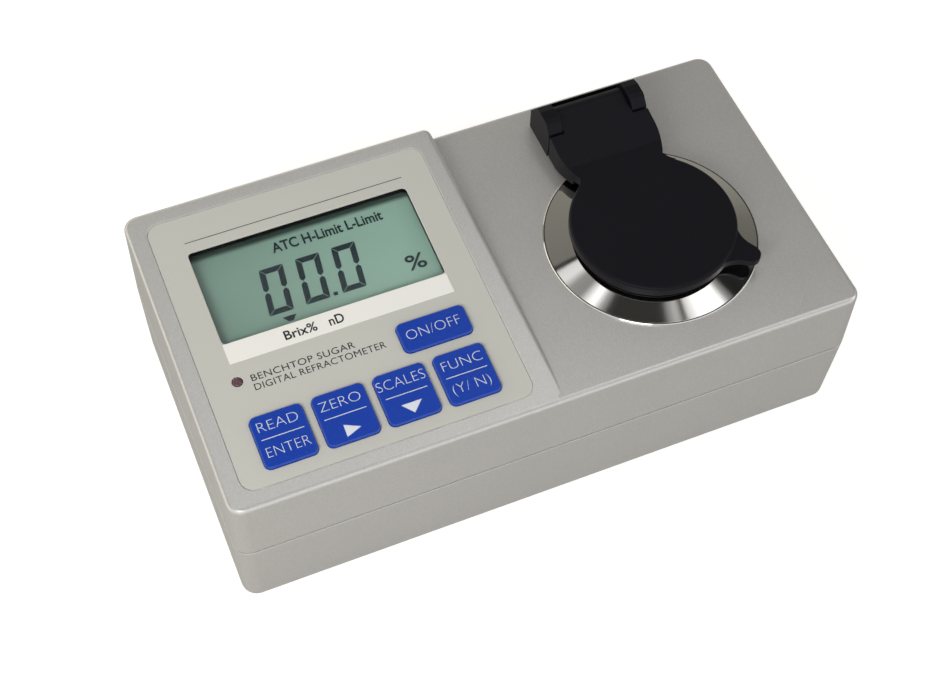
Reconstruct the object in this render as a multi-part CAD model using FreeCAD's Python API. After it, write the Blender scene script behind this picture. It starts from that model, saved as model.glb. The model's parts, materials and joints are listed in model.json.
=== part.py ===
import FreeCAD, Part
import math
import os
from FreeCAD import Vector

# Benchtop digital refractometer, in millimetres.
# +X runs from the control panel to the sample stage, +Y from front to back, +Z up.
# The origin is the middle of the footprint, on the surface that the rubber feet stand on.

# ---------------------------------------------------------------- housing
LENGTH = 182.4
WIDTH = 97.0
CORNER_R = 3.4
BASE_CORNER_R = 4.5
ROOM_CORNER_R = 2.0
INNER_CORNER_R = 1.0
FOOT_PROUD = 1.5
LOWER_H = 28.8
UPPER_H = 22.7
END_TAPER = 0.4
SIDE_TAPER = 1.4
UPPER_DRAFT = 0.3
WALL = 2.5
TOP_EDGE_R = 1.4
BOTTOM_EDGE_R = 2.2
GROOVE_H = 0.4
GROOVE_DEPTH = 0.7
TONGUE_H = 1.8
TONGUE_T = 1.1
TONGUE_GAP = 0.1

# ---------------------------------------------------------------- raised control panel
PANEL_LENGTH = 93.2
PANEL_SLOPE = 0.056
PANEL_CREASE = 2.9
PANEL_CORNER_R = 2.2
STEP_LEAN = 0.33
STEP_LAP = 2.0

# ---------------------------------------------------------------- overlay and display window
OVERLAY_LEFT = 5.6
OVERLAY_FRONT = 5.1
OVERLAY_BACK = 5.3
OVERLAY_STEP = 6.6
OVERLAY_R = 4.0
OVERLAY_T = 0.5
OVERLAY_SUNK = 0.1
OVERLAY_GAP = 0.1
WINDOW_LEFT = 14.1
WINDOW_BACK = 17.5
WINDOW_LENGTH = 63.9
WINDOW_WIDTH = 31.0
WINDOW_R = 1.4
PANE_MARGIN = 1.6
PANE_T = 0.8
STRIP_WIDTH = 6.3
STRIP_T = 0.1

# ---------------------------------------------------------------- keys and their switches
KEY_LEFT = 13.0
KEY_FRONT = 9.2
KEY_PITCH = 17.0
KEY_LENGTH = 14.6
KEY_WIDTH = 15.6
POWER_KEY_LEFT = 58.5
POWER_KEY_FRONT = 28.3
POWER_KEY_LENGTH = 19.7
POWER_KEY_WIDTH = 9.3
KEY_R = 1.8
KEY_PROUD = 0.8
KEY_EDGE_R = 0.35
KEY_GAP = 0.12
KEY_FLANGE = 0.5
KEY_FLANGE_T = 1.0
KEY_FLANGE_GAP = 0.1
STEM_R = 2.0
STEM_H = 0.7
SWITCH_SIZE = 6.0
SWITCH_H = 3.5
PLUNGER_R = 1.65
PLUNGER_PROUD = 0.6
PLUNGER_SUNK = 0.6
PLUNGER_WELL = 1.3
PLUNGER_GAP = 0.08

# ---------------------------------------------------------------- main board and display
BOARD_T = 1.6
BOARD_GAP = 0.3
BOARD_STEP_GAP = 6.0
POST_R = 2.2
POST_END_GAP = 5.9
POST_BACK = 10.5
POST_INSET = 16.0
BOARD_SCREW_R = 1.0
BOARD_SCREW_HEAD_R = 2.0
BOARD_SCREW_HEAD_H = 1.3
BOARD_SCREW_BITE = 4.5
GLASS_T = 2.8
GLASS_SUNK = 3.0
GLASS_MARGIN = 1.5
FRAME_T = 2.0
FRAME_GAP = 0.1
ZEBRA_T = 1.4
CHIP_SIZE = 14.0
CHIP_T = 1.6
LAMP_LEFT = 14.3
LAMP_FRONT = 36.6
LAMP_R = 1.45
LAMP_PROUD = 0.25
LAMP_FLANGE_R = 1.9
LAMP_FLANGE_H = 1.2
LAMP_GAP = 0.1

# ---------------------------------------------------------------- housing screws and feet
BOSS_INSET_X = 7.4
BOSS_INSET_Y = 8.7
BOSS_R = 3.3
SCREW_R = 1.5
SCREW_HEAD_R = 2.5
SCREW_HEAD_H = 2.0
SCREW_BITE = 10.0
SCREW_SUNK = 1.4
SCREW_GAP = 0.2
THREAD_GAP = 0.02
FOOT_R = 5.5
FOOT_INSET_X = 19.0
FOOT_INSET_Y = 15.0
FOOT_RECESS = 0.8
FOOT_EDGE_R = 0.5

# ---------------------------------------------------------------- sample stage and optics
STAGE_FROM_RIGHT = 45.7
STAGE_FROM_BACK = 56.2
STAGE_R = 30.3
STAGE_FLANGE_H = 0.55
STAGE_RIM_R = 21.2
STAGE_RIM_H = 2.65
STAGE_RIM_W = 1.2
SPIGOT_R = 24.6
SPIGOT_GAP = 0.25
SPIGOT_WALL = 2.2
WELL_DEPTH = 3.0
WELL_FLOOR_R = 7.3
WELL_BULGE = 1.0
BOSS_DEPTH = 7.0
STAGE_BOSS_R = 18.0
GROOVE_R_IN = 26.6
GROOVE_R_OUT = 28.4
SEAL_T = 0.6
NUT_T = 3.5
NUT_R = 29.0
NUT_SLOTS = 6
NUT_SLOT_W = 4.0
NUT_SLOT_DEPTH = 1.5
PRISM_R = 6.0
PRISM_GAP = 0.05
PRISM_SEAL_W = 1.2
PRISM_SEAL_H = 1.5
PRISM_DROP = 6.0
PRISM_FOOT = 3.0
PRISM_DEPTH_Y = 7.0
OPTICS_LENGTH = 36.0
OPTICS_WIDTH = 28.0
OPTICS_H = 16.0
OPTICS_EDGE = 3.0
CHANNEL_R = 2.6
LENS_T = 2.4
LAMP_BODY_R = 2.4
LAMP_BODY_L = 5.0
SENSOR_L = 2.0
SENSOR_W = 9.0
SENSOR_H = 4.0
SENSOR_BOARD_T = 1.6
SENSOR_BOARD_W = 24.0
SENSOR_BOARD_H = 14.0
PROBE_R = 1.4
PROBE_BITE = 1.6
PROBE_Y = 10.5
OPTICS_SCREW_R = 1.25
OPTICS_SCREW_HEAD_R = 2.2
OPTICS_SCREW_HEAD_H = 2.0
OPTICS_SCREW_X = 13.0
OPTICS_SCREW_Y = 9.5
OPTICS_SCREW_BITE = 2.4

# ---------------------------------------------------------------- lid and hinge
HINGE_FROM_BACK = 12.5
PIN_H = 6.4
PIN_R = 1.5
PIN_FIT = 0.02
PIN_RUN = 0.05
PIN_END_WALL = 1.4
KNUCKLE_R = 3.8
EAR_T = 4.4
EAR_GAP = 0.3
BLOCK_LENGTH = 30.8
BLOCK_FLOOR = 2.2
BLOCK_STOP_GAP = 0.6
HINGE_SCREW_R = 1.25
HINGE_SCREW_TOP = 4.2
LID_R = 23.4
LID_TOP = 7.5
LID_T = 2.9
LID_EDGE_R = 0.9
LID_HOLLOW_R = 19.5
LID_HOLLOW = 0.9
SKIRT_R = 22.3
SKIRT_T = 1.4
SKIRT_GAP = 0.2
SKIRT_BITE = 0.8
ARM_BACK_GAP = 7.6
ARM_STRAIGHT = 12.5
ARM_NECK = 23.0
ARM_NECK_HALF = 12.9
ARM_CREASE = 18.5
ARM_CLEAR = 1.0
ARM_WALL = 2.2
TAB_ANGLE = -43.5
TAB_REACH = 31.0
TAB_ROOT_HALF = 9.0
TAB_TIP_HALF = 3.3
TAB_TIP_ROUND = 1.8
TAB_TIP_TAPER = 0.6
TAB_TOP = 5.9
TAB_T = 1.7

# ---------------------------------------------------------------- battery bay
BAY_FROM_LEFT = 27.2
BAY_LENGTH = 56.0
BAY_WIDTH = 28.0
BAY_WALL = 1.6
BAY_WALL_H = 12.0
DOOR_T = 1.8
DOOR_GAP = 0.25
HOOK_REACH = 1.2
HOOK_T = 1.2
HOOK_W = 6.0
HOOK_SPREAD = 7.5
HOOK_LIFT = 0.15
GRIP_R = 5.0
GRIP_DEPTH = 0.9
BATTERY_L = 46.4
BATTERY_W = 26.0
BATTERY_H = 17.3
BATTERY_LIFT = 0.6
BATTERY_END_GAP = 3.6
TERMINAL_R = 2.8
TERMINAL_H = 2.0
SNAP_T = 3.4
SNAP_H = 13.0
LEAD_R = 0.7
LEAD_SPREAD = 3.0
LEAD_SLACK = 3.5
TAIL_GAP = 0.6
RIBBON_W = 10.0
RIBBON_T = 0.4
RIBBON_PLUG_DROP = 6.0
RIBBON_UNDER = 3.0
RIBBON_INSET = 4.0
RIBBON_OUT = 6.0

# ---------------------------------------------------------------- derived places
LEFT = -LENGTH / 2
RIGHT = LENGTH / 2
FRONT = -WIDTH / 2
BACK = WIDTH / 2
BASE_Z = FOOT_PROUD
FLOOR_Z = BASE_Z + WALL
PART_Z = BASE_Z + LOWER_H
DECK_Z = PART_Z + UPPER_H
CREASE_Y = FRONT + PANEL_CREASE
STEP_X = LEFT + PANEL_LENGTH
TILT_DEG = math.degrees(math.atan(PANEL_SLOPE))
DRAFT_RATE = UPPER_DRAFT / UPPER_H
STAGE_X = RIGHT - STAGE_FROM_RIGHT
STAGE_Y = BACK - STAGE_FROM_BACK
HINGE_Y = BACK - HINGE_FROM_BACK
HINGE_Z = DECK_Z + PIN_H
POCKET_DEPTH = OVERLAY_T + OVERLAY_SUNK
PANE_DEPTH = POCKET_DEPTH + PANE_T
WINDOW_X0 = LEFT + WINDOW_LEFT
WINDOW_X1 = WINDOW_X0 + WINDOW_LENGTH
WINDOW_Y1 = BACK - WINDOW_BACK
WINDOW_Y0 = WINDOW_Y1 - WINDOW_WIDTH
KEY_BOTTOM = WALL + KEY_FLANGE_GAP + KEY_FLANGE_T
STEM_BOTTOM = KEY_BOTTOM + STEM_H
SWITCH_TOP = STEM_BOTTOM + PLUNGER_PROUD
BOARD_TOP = SWITCH_TOP + SWITCH_H
BOARD_BOTTOM = BOARD_TOP + BOARD_T
UP = Vector(0, 0, 1)
TALL = 60.0


def rounded_wire(x0, y0, x1, y1, radius, z):
    """Closed rectangle with rounded corners, level at height z."""
    corners = [
        (x1 - radius, y1 - radius, 0),
        (x0 + radius, y1 - radius, 90),
        (x0 + radius, y0 + radius, 180),
        (x1 - radius, y0 + radius, 270),
    ]
    arcs = [Part.makeCircle(radius, Vector(cx, cy, z), UP, turn, turn + 90) for cx, cy, turn in corners]
    edges = []
    for index, arc in enumerate(arcs):
        following = arcs[(index + 1) % len(arcs)]
        edges.append(arc)
        edges.append(Part.makeLine(arc.valueAt(arc.LastParameter), following.valueAt(following.FirstParameter)))
    return Part.Wire(edges)


def slab(x0, y0, x1, y1, radius, z0, z1):
    """Upright block with rounded corners in plan."""
    return Part.Face(rounded_wire(x0, y0, x1, y1, radius, z0)).extrude(Vector(0, 0, z1 - z0))


def box(x0, y0, z0, x1, y1, z1):
    """Plain block between two opposite corners."""
    return Part.makeBox(x1 - x0, y1 - y0, z1 - z0, Vector(x0, y0, z0))


def rod(x, y, z0, z1, radius):
    """Upright cylinder."""
    return Part.makeCylinder(radius, z1 - z0, Vector(x, y, z0), UP)


def ring(x, y, z0, z1, inner, outer):
    """Upright ring of rectangular section."""
    return rod(x, y, z0, z1, outer).cut(rod(x, y, z0 - 1, z1 + 1, inner))


def rod_x(x0, x1, y, z, radius):
    """Cylinder along X."""
    return Part.makeCylinder(radius, x1 - x0, Vector(x0, y, z), Vector(1, 0, 0))


def prism_x(points, x0, x1):
    """Outline of (y, z) points pushed along X."""
    corners = [Vector(x0, y, z) for y, z in points]
    face = Part.Face(Part.makePolygon(corners + corners[:1]))
    return face.extrude(Vector(x1 - x0, 0, 0))


def prism_y(points, y0, y1):
    """Outline of (x, z) points pushed along Y."""
    corners = [Vector(x, y0, z) for x, z in points]
    face = Part.Face(Part.makePolygon(corners + corners[:1]))
    return face.extrude(Vector(0, y1 - y0, 0))


def turned(edges, x, y):
    """Solid turned about an upright axis through x, y from a closed outline in the XZ plane."""
    solid = Part.Face(Part.Wire(edges)).revolve(Vector(0, 0, 0), UP, 360)
    solid.translate(Vector(x, y, 0))
    return solid


def line(a, b):
    return Part.makeLine(Vector(a[0], 0, a[1]), Vector(b[0], 0, b[1]))


def arc(a, b, bulge):
    """Arc from a to b in the XZ plane, standing off its chord by bulge to the left of the way a to b."""
    span = math.hypot(b[0] - a[0], b[1] - a[1])
    middle = ((a[0] + b[0]) / 2 - (b[1] - a[1]) / span * bulge, (a[1] + b[1]) / 2 + (b[0] - a[0]) / span * bulge)
    ends = [Vector(p[0], 0, p[1]) for p in (a, middle, b)]
    return Part.Arc(*ends).toShape()


def tilt(shape):
    """Lay a piece that was drawn level with the deck onto the sloping control panel."""
    laid = shape.copy()
    laid.rotate(Vector(0, CREASE_Y, DECK_Z), Vector(1, 0, 0), TILT_DEG)
    return laid


def joined(shapes):
    """One solid from pieces that overlap or share faces."""
    whole = shapes[0].multiFuse(shapes[1:]) if len(shapes) > 1 else shapes[0]
    return whole.removeSplitter()


def group(shapes):
    """Several separate solids kept as one node."""
    return Part.makeCompound(shapes)


def mirrored_places(inset_x, inset_y):
    """The four places that lie inset_x and inset_y in from the sides of the housing."""
    xs = (LEFT + inset_x, RIGHT - inset_x)
    ys = (FRONT + inset_y, BACK - inset_y)
    return [(x, y) for x in xs for y in ys]


# ================================================================ housing
def tower(inset):
    """Upper housing's drafted walls, carried up past the top, with every wall moved in by inset."""
    rise = UPPER_H + TALL
    lean = DRAFT_RATE * rise
    radius = max(CORNER_R - inset, INNER_CORNER_R) + lean
    low = rounded_wire(LEFT + inset, FRONT + inset, RIGHT - inset, BACK - inset, radius, PART_Z)
    inset += lean
    high = rounded_wire(LEFT + inset, FRONT + inset, RIGHT - inset, BACK - inset, radius - lean, PART_Z + rise)
    return Part.makeLoft([low, high], True, True)


def left_of_step(inset):
    """Everything left of the leaning step between panel and deck, moved left by inset."""
    low_x = STEP_X - inset + STEP_LEAN * UPPER_H
    high_x = STEP_X - inset - STEP_LEAN * TALL
    outline = [(LEFT - TALL, PART_Z), (low_x, PART_Z), (high_x, DECK_Z + TALL), (LEFT - TALL, DECK_Z + TALL)]
    return prism_y(outline, FRONT - TALL, BACK + TALL)


def above_panel(depth):
    """Everything higher than the sloping panel's surface less depth."""
    level = DECK_Z - depth
    return tilt(box(LEFT - TALL, FRONT - TALL, level, RIGHT + TALL, BACK + TALL, level + 3 * TALL))


def above_deck(depth):
    """Everything higher than the deck's surface less depth."""
    level = DECK_Z - depth
    return box(LEFT - TALL, FRONT - TALL, level, RIGHT + TALL, BACK + TALL, level + 3 * TALL)


def edges_of_top(solid, normal):
    """Edges round the flat face that points along normal and lies highest."""
    flats = [face for face in solid.Faces if face.Surface.TypeId == "Part::GeomPlane"]
    tops = [face for face in flats if face.normalAt(0, 0).dot(normal) > 0.9999]
    return max(tops, key=lambda face: face.CenterOfMass.z).Edges


def upper_outer():
    """Outer form of the upper housing: low deck block with the sloping panel block on its left."""
    deck = tower(0).cut(above_deck(0))
    deck = deck.makeFillet(TOP_EDGE_R, edges_of_top(deck, UP))
    deck = deck.common(box(STEP_X - STEP_LAP, FRONT - 1, PART_Z, RIGHT + 1, BACK + 1, DECK_Z + 1))
    panel = tower(0).common(left_of_step(0)).cut(above_panel(0))
    upright = []
    for edge in panel.Edges:
        ends = [vertex.Point for vertex in edge.Vertexes]
        on_step = all(abs(p.x - (STEP_X - STEP_LEAN * (p.z - DECK_Z))) < 0.01 for p in ends)
        if on_step and abs(ends[0].z - ends[-1].z) > UPPER_H / 2 and ends[0].y > 0:
            upright.append(edge)
    panel = panel.makeFillet(PANEL_CORNER_R, upright)
    normal = Vector(0, -math.sin(math.radians(TILT_DEG)), math.cos(math.radians(TILT_DEG)))
    panel = panel.makeFillet(TOP_EDGE_R, edges_of_top(panel, normal))
    return deck.fuse(panel)


def key_outlines():
    """Name and plan rectangle of each key, drawn level with the deck."""
    outlines = []
    for index, name in enumerate(("read_enter", "zero", "scales", "function")):
        x0 = LEFT + KEY_LEFT + index * KEY_PITCH
        y0 = FRONT + KEY_FRONT
        outlines.append((name, x0, y0, x0 + KEY_LENGTH, y0 + KEY_WIDTH))
    x0 = LEFT + POWER_KEY_LEFT
    y0 = FRONT + POWER_KEY_FRONT
    outlines.append(("on_off", x0, y0, x0 + POWER_KEY_LENGTH, y0 + POWER_KEY_WIDTH))
    return outlines


def post_places():
    """The four posts that carry the main board, drawn level with the deck."""
    xs = (LEFT + POST_INSET, STEP_X - POST_INSET + POST_R)
    ys = (FRONT + POST_END_GAP, BACK - POST_BACK)
    return [(x, y) for x in xs for y in ys]


def upper_housing():
    outer = upper_outer()
    deck_room = tower(WALL).cut(above_deck(WALL))
    panel_room = tower(WALL).common(left_of_step(WALL)).cut(above_panel(WALL))
    body = outer.cut(deck_room).cut(panel_room)
    posts = [rod(x, y, PART_Z, DECK_Z + TALL, BOSS_R) for x, y in mirrored_places(BOSS_INSET_X, BOSS_INSET_Y)]
    posts += [tilt(rod(x, y, DECK_Z - BOARD_TOP, DECK_Z, POST_R)) for x, y in post_places()]
    body = body.fuse([post.common(outer) for post in posts])
    cuts = []
    rebate = WALL - TONGUE_T - TONGUE_GAP
    tongue_top = PART_Z + TONGUE_H + TONGUE_GAP
    cuts.append(tower(rebate).cut(box(LEFT, FRONT, tongue_top, RIGHT, BACK, DECK_Z + 2 * TALL)).cut(
        tower(WALL)))
    cuts.append(tower(-1).cut(tower(GROOVE_DEPTH)).common(
        box(LEFT - 5, FRONT - 5, PART_Z, RIGHT + 5, BACK + 5, PART_Z + GROOVE_H)))
    for x, y in mirrored_places(BOSS_INSET_X, BOSS_INSET_Y):
        cuts.append(rod(x, y, PART_Z - 1, PART_Z + SCREW_BITE + 1, SCREW_R + THREAD_GAP))
    for x, y in post_places():
        cuts.append(tilt(rod(x, y, DECK_Z - BOARD_TOP - 1, DECK_Z - BOARD_TOP + BOARD_SCREW_BITE,
                             BOARD_SCREW_R + THREAD_GAP)))
    ox0, oy0, ox1, oy1 = overlay_outline()
    level = DECK_Z + 5
    cuts.append(tilt(slab(ox0, oy0, ox1, oy1, OVERLAY_R, DECK_Z - POCKET_DEPTH, level)))
    margin = PANE_MARGIN + OVERLAY_GAP
    cuts.append(tilt(slab(WINDOW_X0 - margin, WINDOW_Y0 - margin, WINDOW_X1 + margin, WINDOW_Y1 + margin,
                          WINDOW_R, DECK_Z - PANE_DEPTH, level)))
    cuts.append(tilt(slab(WINDOW_X0, WINDOW_Y0, WINDOW_X1, WINDOW_Y1, WINDOW_R, DECK_Z - WALL - 1, level)))
    for name, x0, y0, x1, y1 in key_outlines():
        cuts.append(tilt(slab(x0 - KEY_GAP, y0 - KEY_GAP, x1 + KEY_GAP, y1 + KEY_GAP, KEY_R + KEY_GAP,
                              DECK_Z - WALL - 1, level)))
    cuts.append(tilt(rod(LEFT + LAMP_LEFT, FRONT + LAMP_FRONT, DECK_Z - WALL - 1, level, LAMP_R + LAMP_GAP)))
    cuts.append(rod(STAGE_X, STAGE_Y, DECK_Z - WALL - 1, level, SPIGOT_R + SPIGOT_GAP))
    for x in hinge_screw_xs():
        cuts.append(rod(x, HINGE_Y, DECK_Z - WALL - 1, level, HINGE_SCREW_R + SCREW_GAP))
    return body.cut(cuts)


def lower_outer():
    """Outer form of the lower housing: tray that widens from the base to the parting line."""
    low = rounded_wire(LEFT + END_TAPER, FRONT + SIDE_TAPER, RIGHT - END_TAPER, BACK - SIDE_TAPER,
                       BASE_CORNER_R, BASE_Z)
    high = rounded_wire(LEFT, FRONT, RIGHT, BACK, CORNER_R + DRAFT_RATE * (UPPER_H + TALL), PART_Z)
    tray = Part.makeLoft([low, high], True, True)
    base = min(tray.Faces, key=lambda face: face.CenterOfMass.z)
    return tray.makeFillet(BOTTOM_EDGE_R, base.Edges)


def lower_room():
    """Room inside the tray."""
    rise = LOWER_H - WALL
    share = 1 - WALL / LOWER_H
    end = END_TAPER * share + WALL
    side = SIDE_TAPER * share + WALL
    low = rounded_wire(LEFT + end, FRONT + side, RIGHT - end, BACK - side, ROOM_CORNER_R, FLOOR_Z)
    high = rounded_wire(LEFT + WALL, FRONT + WALL, RIGHT - WALL, BACK - WALL, ROOM_CORNER_R,
                        FLOOR_Z + rise)
    return Part.makeLoft([low, high], True, True)


def bay_corner():
    """Left front corner of the battery bay's opening in the base."""
    return LEFT + BAY_FROM_LEFT, -BAY_WIDTH / 2


def lower_housing():
    outer = lower_outer()
    room = lower_room()
    body = outer.cut(room)
    pillars = [rod(x, y, BASE_Z, PART_Z, BOSS_R) for x, y in mirrored_places(BOSS_INSET_X, BOSS_INSET_Y)]
    x0, y0 = bay_corner()
    x1 = x0 + BAY_LENGTH
    y1 = y0 + BAY_WIDTH
    bay = slab(x0 - BAY_WALL, y0 - BAY_WALL, x1 + BAY_WALL, y1 + BAY_WALL, BAY_WALL, BASE_Z + WALL / 2,
               FLOOR_Z + BAY_WALL_H)
    bay = bay.cut(box(x0, y0, BASE_Z, x1, y1, FLOOR_Z + BAY_WALL_H + 1))
    tongue = tower(WALL - TONGUE_T).cut(tower(WALL)).common(
        box(LEFT, FRONT, PART_Z, RIGHT, BACK, PART_Z + TONGUE_H))
    body = body.fuse([pillar.common(outer) for pillar in pillars] + [bay, tongue])
    cuts = []
    cuts.append(tower(-1).cut(tower(GROOVE_DEPTH)).common(
        box(LEFT - 5, FRONT - 5, PART_Z, RIGHT + 5, BACK + 5, PART_Z + GROOVE_H)).translated(
            Vector(0, 0, -GROOVE_H)))
    for x, y in mirrored_places(BOSS_INSET_X, BOSS_INSET_Y):
        cuts.append(rod(x, y, BASE_Z - 1, PART_Z + TONGUE_H + 1, SCREW_R + SCREW_GAP))
        cuts.append(rod(x, y, BASE_Z - 1, BASE_Z + SCREW_SUNK + SCREW_HEAD_H, SCREW_HEAD_R + SCREW_GAP))
    for x, y in mirrored_places(FOOT_INSET_X, FOOT_INSET_Y):
        cuts.append(rod(x, y, BASE_Z - 1, BASE_Z + FOOT_RECESS, FOOT_R))
    cuts.append(box(x0, y0, BASE_Z - 1, x1, y1, FLOOR_Z + 1))
    for y in (-HOOK_SPREAD, HOOK_SPREAD):
        half = HOOK_W / 2 + DOOR_GAP
        cuts.append(box(x0 - BAY_WALL - 1, y - half, FLOOR_Z, x0 + 1, y + half,
                        FLOOR_Z + HOOK_LIFT + HOOK_REACH + HOOK_T + 1))
    return body.cut(cuts)


def housing_screws():
    """Four long screws that hold the lower housing to the upper one."""
    screws = []
    head = BASE_Z + SCREW_SUNK
    for x, y in mirrored_places(BOSS_INSET_X, BOSS_INSET_Y):
        screw = joined([rod(x, y, head, head + SCREW_HEAD_H, SCREW_HEAD_R),
                        rod(x, y, head, PART_Z + SCREW_BITE, SCREW_R)])
        cross = [box(x - 1.6, y - 0.35, head - 1, x + 1.6, y + 0.35, head + 0.9),
                 box(x - 0.35, y - 1.6, head - 1, x + 0.35, y + 1.6, head + 0.9)]
        screws.append(screw.cut(cross))
    return group(screws)


def rubber_feet():
    """Four round feet stuck in recesses of the base."""
    feet = []
    for x, y in mirrored_places(FOOT_INSET_X, FOOT_INSET_Y):
        foot = rod(x, y, 0, BASE_Z + FOOT_RECESS, FOOT_R)
        rim = [edge for edge in foot.Edges if edge.CenterOfMass.z < 0.01 and edge.Closed]
        feet.append(foot.makeFillet(FOOT_EDGE_R, rim))
    return group(feet)


# ================================================================ control panel
def overlay_outline():
    return LEFT + OVERLAY_LEFT, FRONT + OVERLAY_FRONT, STEP_X - OVERLAY_STEP, BACK - OVERLAY_BACK


def panel_overlay():
    """Printed sheet in the shallow recess of the panel, open over the display, the keys and the lamp."""
    x0, y0, x1, y1 = overlay_outline()
    gap = OVERLAY_GAP
    bottom = DECK_Z - POCKET_DEPTH
    top = DECK_Z - OVERLAY_SUNK
    sheet = slab(x0 + gap, y0 + gap, x1 - gap, y1 - gap, OVERLAY_R - gap, bottom, top)
    cuts = [slab(WINDOW_X0, WINDOW_Y0, WINDOW_X1, WINDOW_Y1, WINDOW_R, bottom - 1, top + 1)]
    for name, kx0, ky0, kx1, ky1 in key_outlines():
        cuts.append(slab(kx0 - KEY_GAP, ky0 - KEY_GAP, kx1 + KEY_GAP, ky1 + KEY_GAP, KEY_R + KEY_GAP,
                         bottom - 1, top + 1))
    cuts.append(rod(LEFT + LAMP_LEFT, FRONT + LAMP_FRONT, bottom - 1, top + 1, LAMP_R + LAMP_GAP))
    return tilt(sheet.cut(cuts))


def display_window():
    """Clear pane bonded under the overlay, over the display."""
    margin = PANE_MARGIN
    return tilt(slab(WINDOW_X0 - margin, WINDOW_Y0 - margin, WINDOW_X1 + margin, WINDOW_Y1 + margin,
                     WINDOW_R, DECK_Z - PANE_DEPTH, DECK_Z - POCKET_DEPTH))


def legend_strip():
    """White label along the front edge of the display window."""
    top = DECK_Z - OVERLAY_SUNK + STRIP_T
    return tilt(box(WINDOW_X0, WINDOW_Y0 - STRIP_WIDTH, top - STRIP_T, WINDOW_X1, WINDOW_Y0, top))


def key_cap(x0, y0, x1, y1):
    """Key that stands through the overlay, with a flange under the housing and a stem to its switch."""
    top = DECK_Z + KEY_PROUD
    cap = slab(x0, y0, x1, y1, KEY_R, DECK_Z - KEY_BOTTOM, top)
    crown = max(cap.Faces, key=lambda face: face.CenterOfMass.z)
    cap = cap.makeFillet(KEY_EDGE_R, crown.Edges)
    reach = KEY_GAP + KEY_FLANGE
    flange = slab(x0 - reach, y0 - reach, x1 + reach, y1 + reach, KEY_R, DECK_Z - KEY_BOTTOM,
                  DECK_Z - KEY_BOTTOM + KEY_FLANGE_T)
    stem = rod((x0 + x1) / 2, (y0 + y1) / 2, DECK_Z - STEM_BOTTOM, DECK_Z - KEY_BOTTOM, STEM_R)
    return tilt(joined([cap, flange, stem]))


def switch_plunger(x, y):
    """Button of a push switch, standing in the well of the switch."""
    return tilt(rod(x, y, DECK_Z - SWITCH_TOP - PLUNGER_SUNK, DECK_Z - STEM_BOTTOM, PLUNGER_R))


def key_switches():
    """Square push switches on the main board, one under each key."""
    bodies = []
    half = SWITCH_SIZE / 2
    for name, x0, y0, x1, y1 in key_outlines():
        x = (x0 + x1) / 2
        y = (y0 + y1) / 2
        body = box(x - half, y - half, DECK_Z - BOARD_TOP, x + half, y + half, DECK_Z - SWITCH_TOP)
        well = rod(x, y, DECK_Z - SWITCH_TOP - PLUNGER_WELL, DECK_Z, PLUNGER_R + PLUNGER_GAP)
        bodies.append(tilt(body.cut(well)))
    return group(bodies)


def board_outline():
    """Plan rectangle of the main board."""
    x0 = WINDOW_X0 - GLASS_MARGIN - FRAME_GAP - FRAME_T
    return x0, FRONT + WALL + UPPER_DRAFT + BOARD_GAP, STEP_X - BOARD_STEP_GAP, BACK - POST_BACK + POST_R


def main_board():
    """Circuit board parallel to the panel, notched round the corner bosses."""
    x0, y0, x1, y1 = board_outline()
    bottom = DECK_Z - BOARD_BOTTOM
    board = box(x0, y0, bottom, x1, y1, DECK_Z - BOARD_TOP)
    cuts = [rod(x, y, bottom - 1, DECK_Z, BOARD_SCREW_R + SCREW_GAP) for x, y in post_places()]
    notch_x = LEFT + BOSS_INSET_X + BOSS_R + BOARD_GAP
    reach = BOSS_INSET_Y + BOSS_R + 2 * BOARD_GAP
    cuts.append(box(x0 - 1, FRONT, bottom - 1, notch_x, FRONT + reach, DECK_Z))
    cuts.append(box(x0 - 1, BACK - reach, bottom - 1, notch_x, BACK, DECK_Z))
    return tilt(board.cut(cuts))


def board_screws():
    """Four small screws that hold the main board to its posts."""
    screws = []
    seat = DECK_Z - BOARD_BOTTOM
    for x, y in post_places():
        head = rod(x, y, seat - BOARD_SCREW_HEAD_H, seat, BOARD_SCREW_HEAD_R)
        shank = rod(x, y, seat - BOARD_SCREW_HEAD_H, DECK_Z - BOARD_TOP + BOARD_SCREW_BITE, BOARD_SCREW_R)
        screws.append(tilt(joined([head, shank])))
    return group(screws)


def controller_chip():
    """Square chip on the underside of the main board."""
    x = (WINDOW_X0 + WINDOW_X1) / 2
    y = (WINDOW_Y0 + WINDOW_Y1) / 2
    half = CHIP_SIZE / 2
    seat = DECK_Z - BOARD_BOTTOM
    return tilt(box(x - half, y - half, seat - CHIP_T, x + half, y + half, seat))


def glass_outline(margin):
    """Plan rectangle of the display glass, grown by margin."""
    reach = GLASS_MARGIN + margin
    return WINDOW_X0 - reach, WINDOW_Y0 - reach, WINDOW_X1 + reach, WINDOW_Y1 + reach


def lcd_glass():
    x0, y0, x1, y1 = glass_outline(0)
    return tilt(box(x0, y0, DECK_Z - GLASS_SUNK - GLASS_T, x1, y1, DECK_Z - GLASS_SUNK))


def lcd_frame():
    """Frame that stands on the board and holds the glass against the panel."""
    outer = glass_outline(FRAME_GAP + FRAME_T)
    inner = glass_outline(FRAME_GAP)
    low = DECK_Z - BOARD_TOP
    high = DECK_Z - WALL
    frame = box(outer[0], outer[1], low, outer[2], outer[3], high)
    hollow = box(inner[0], inner[1], low - 1, inner[2], inner[3], high + 1)
    return tilt(frame.cut(hollow))


def zebra_connectors():
    """Two conductive rubber strips between the display glass and the board."""
    x0, y0, x1, y1 = glass_outline(0)
    low = DECK_Z - BOARD_TOP
    high = DECK_Z - GLASS_SUNK - GLASS_T
    return group([tilt(box(x0, y0, low, x1, y0 + ZEBRA_T, high)),
                  tilt(box(x0, y1 - ZEBRA_T, low, x1, y1, high))])


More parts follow.
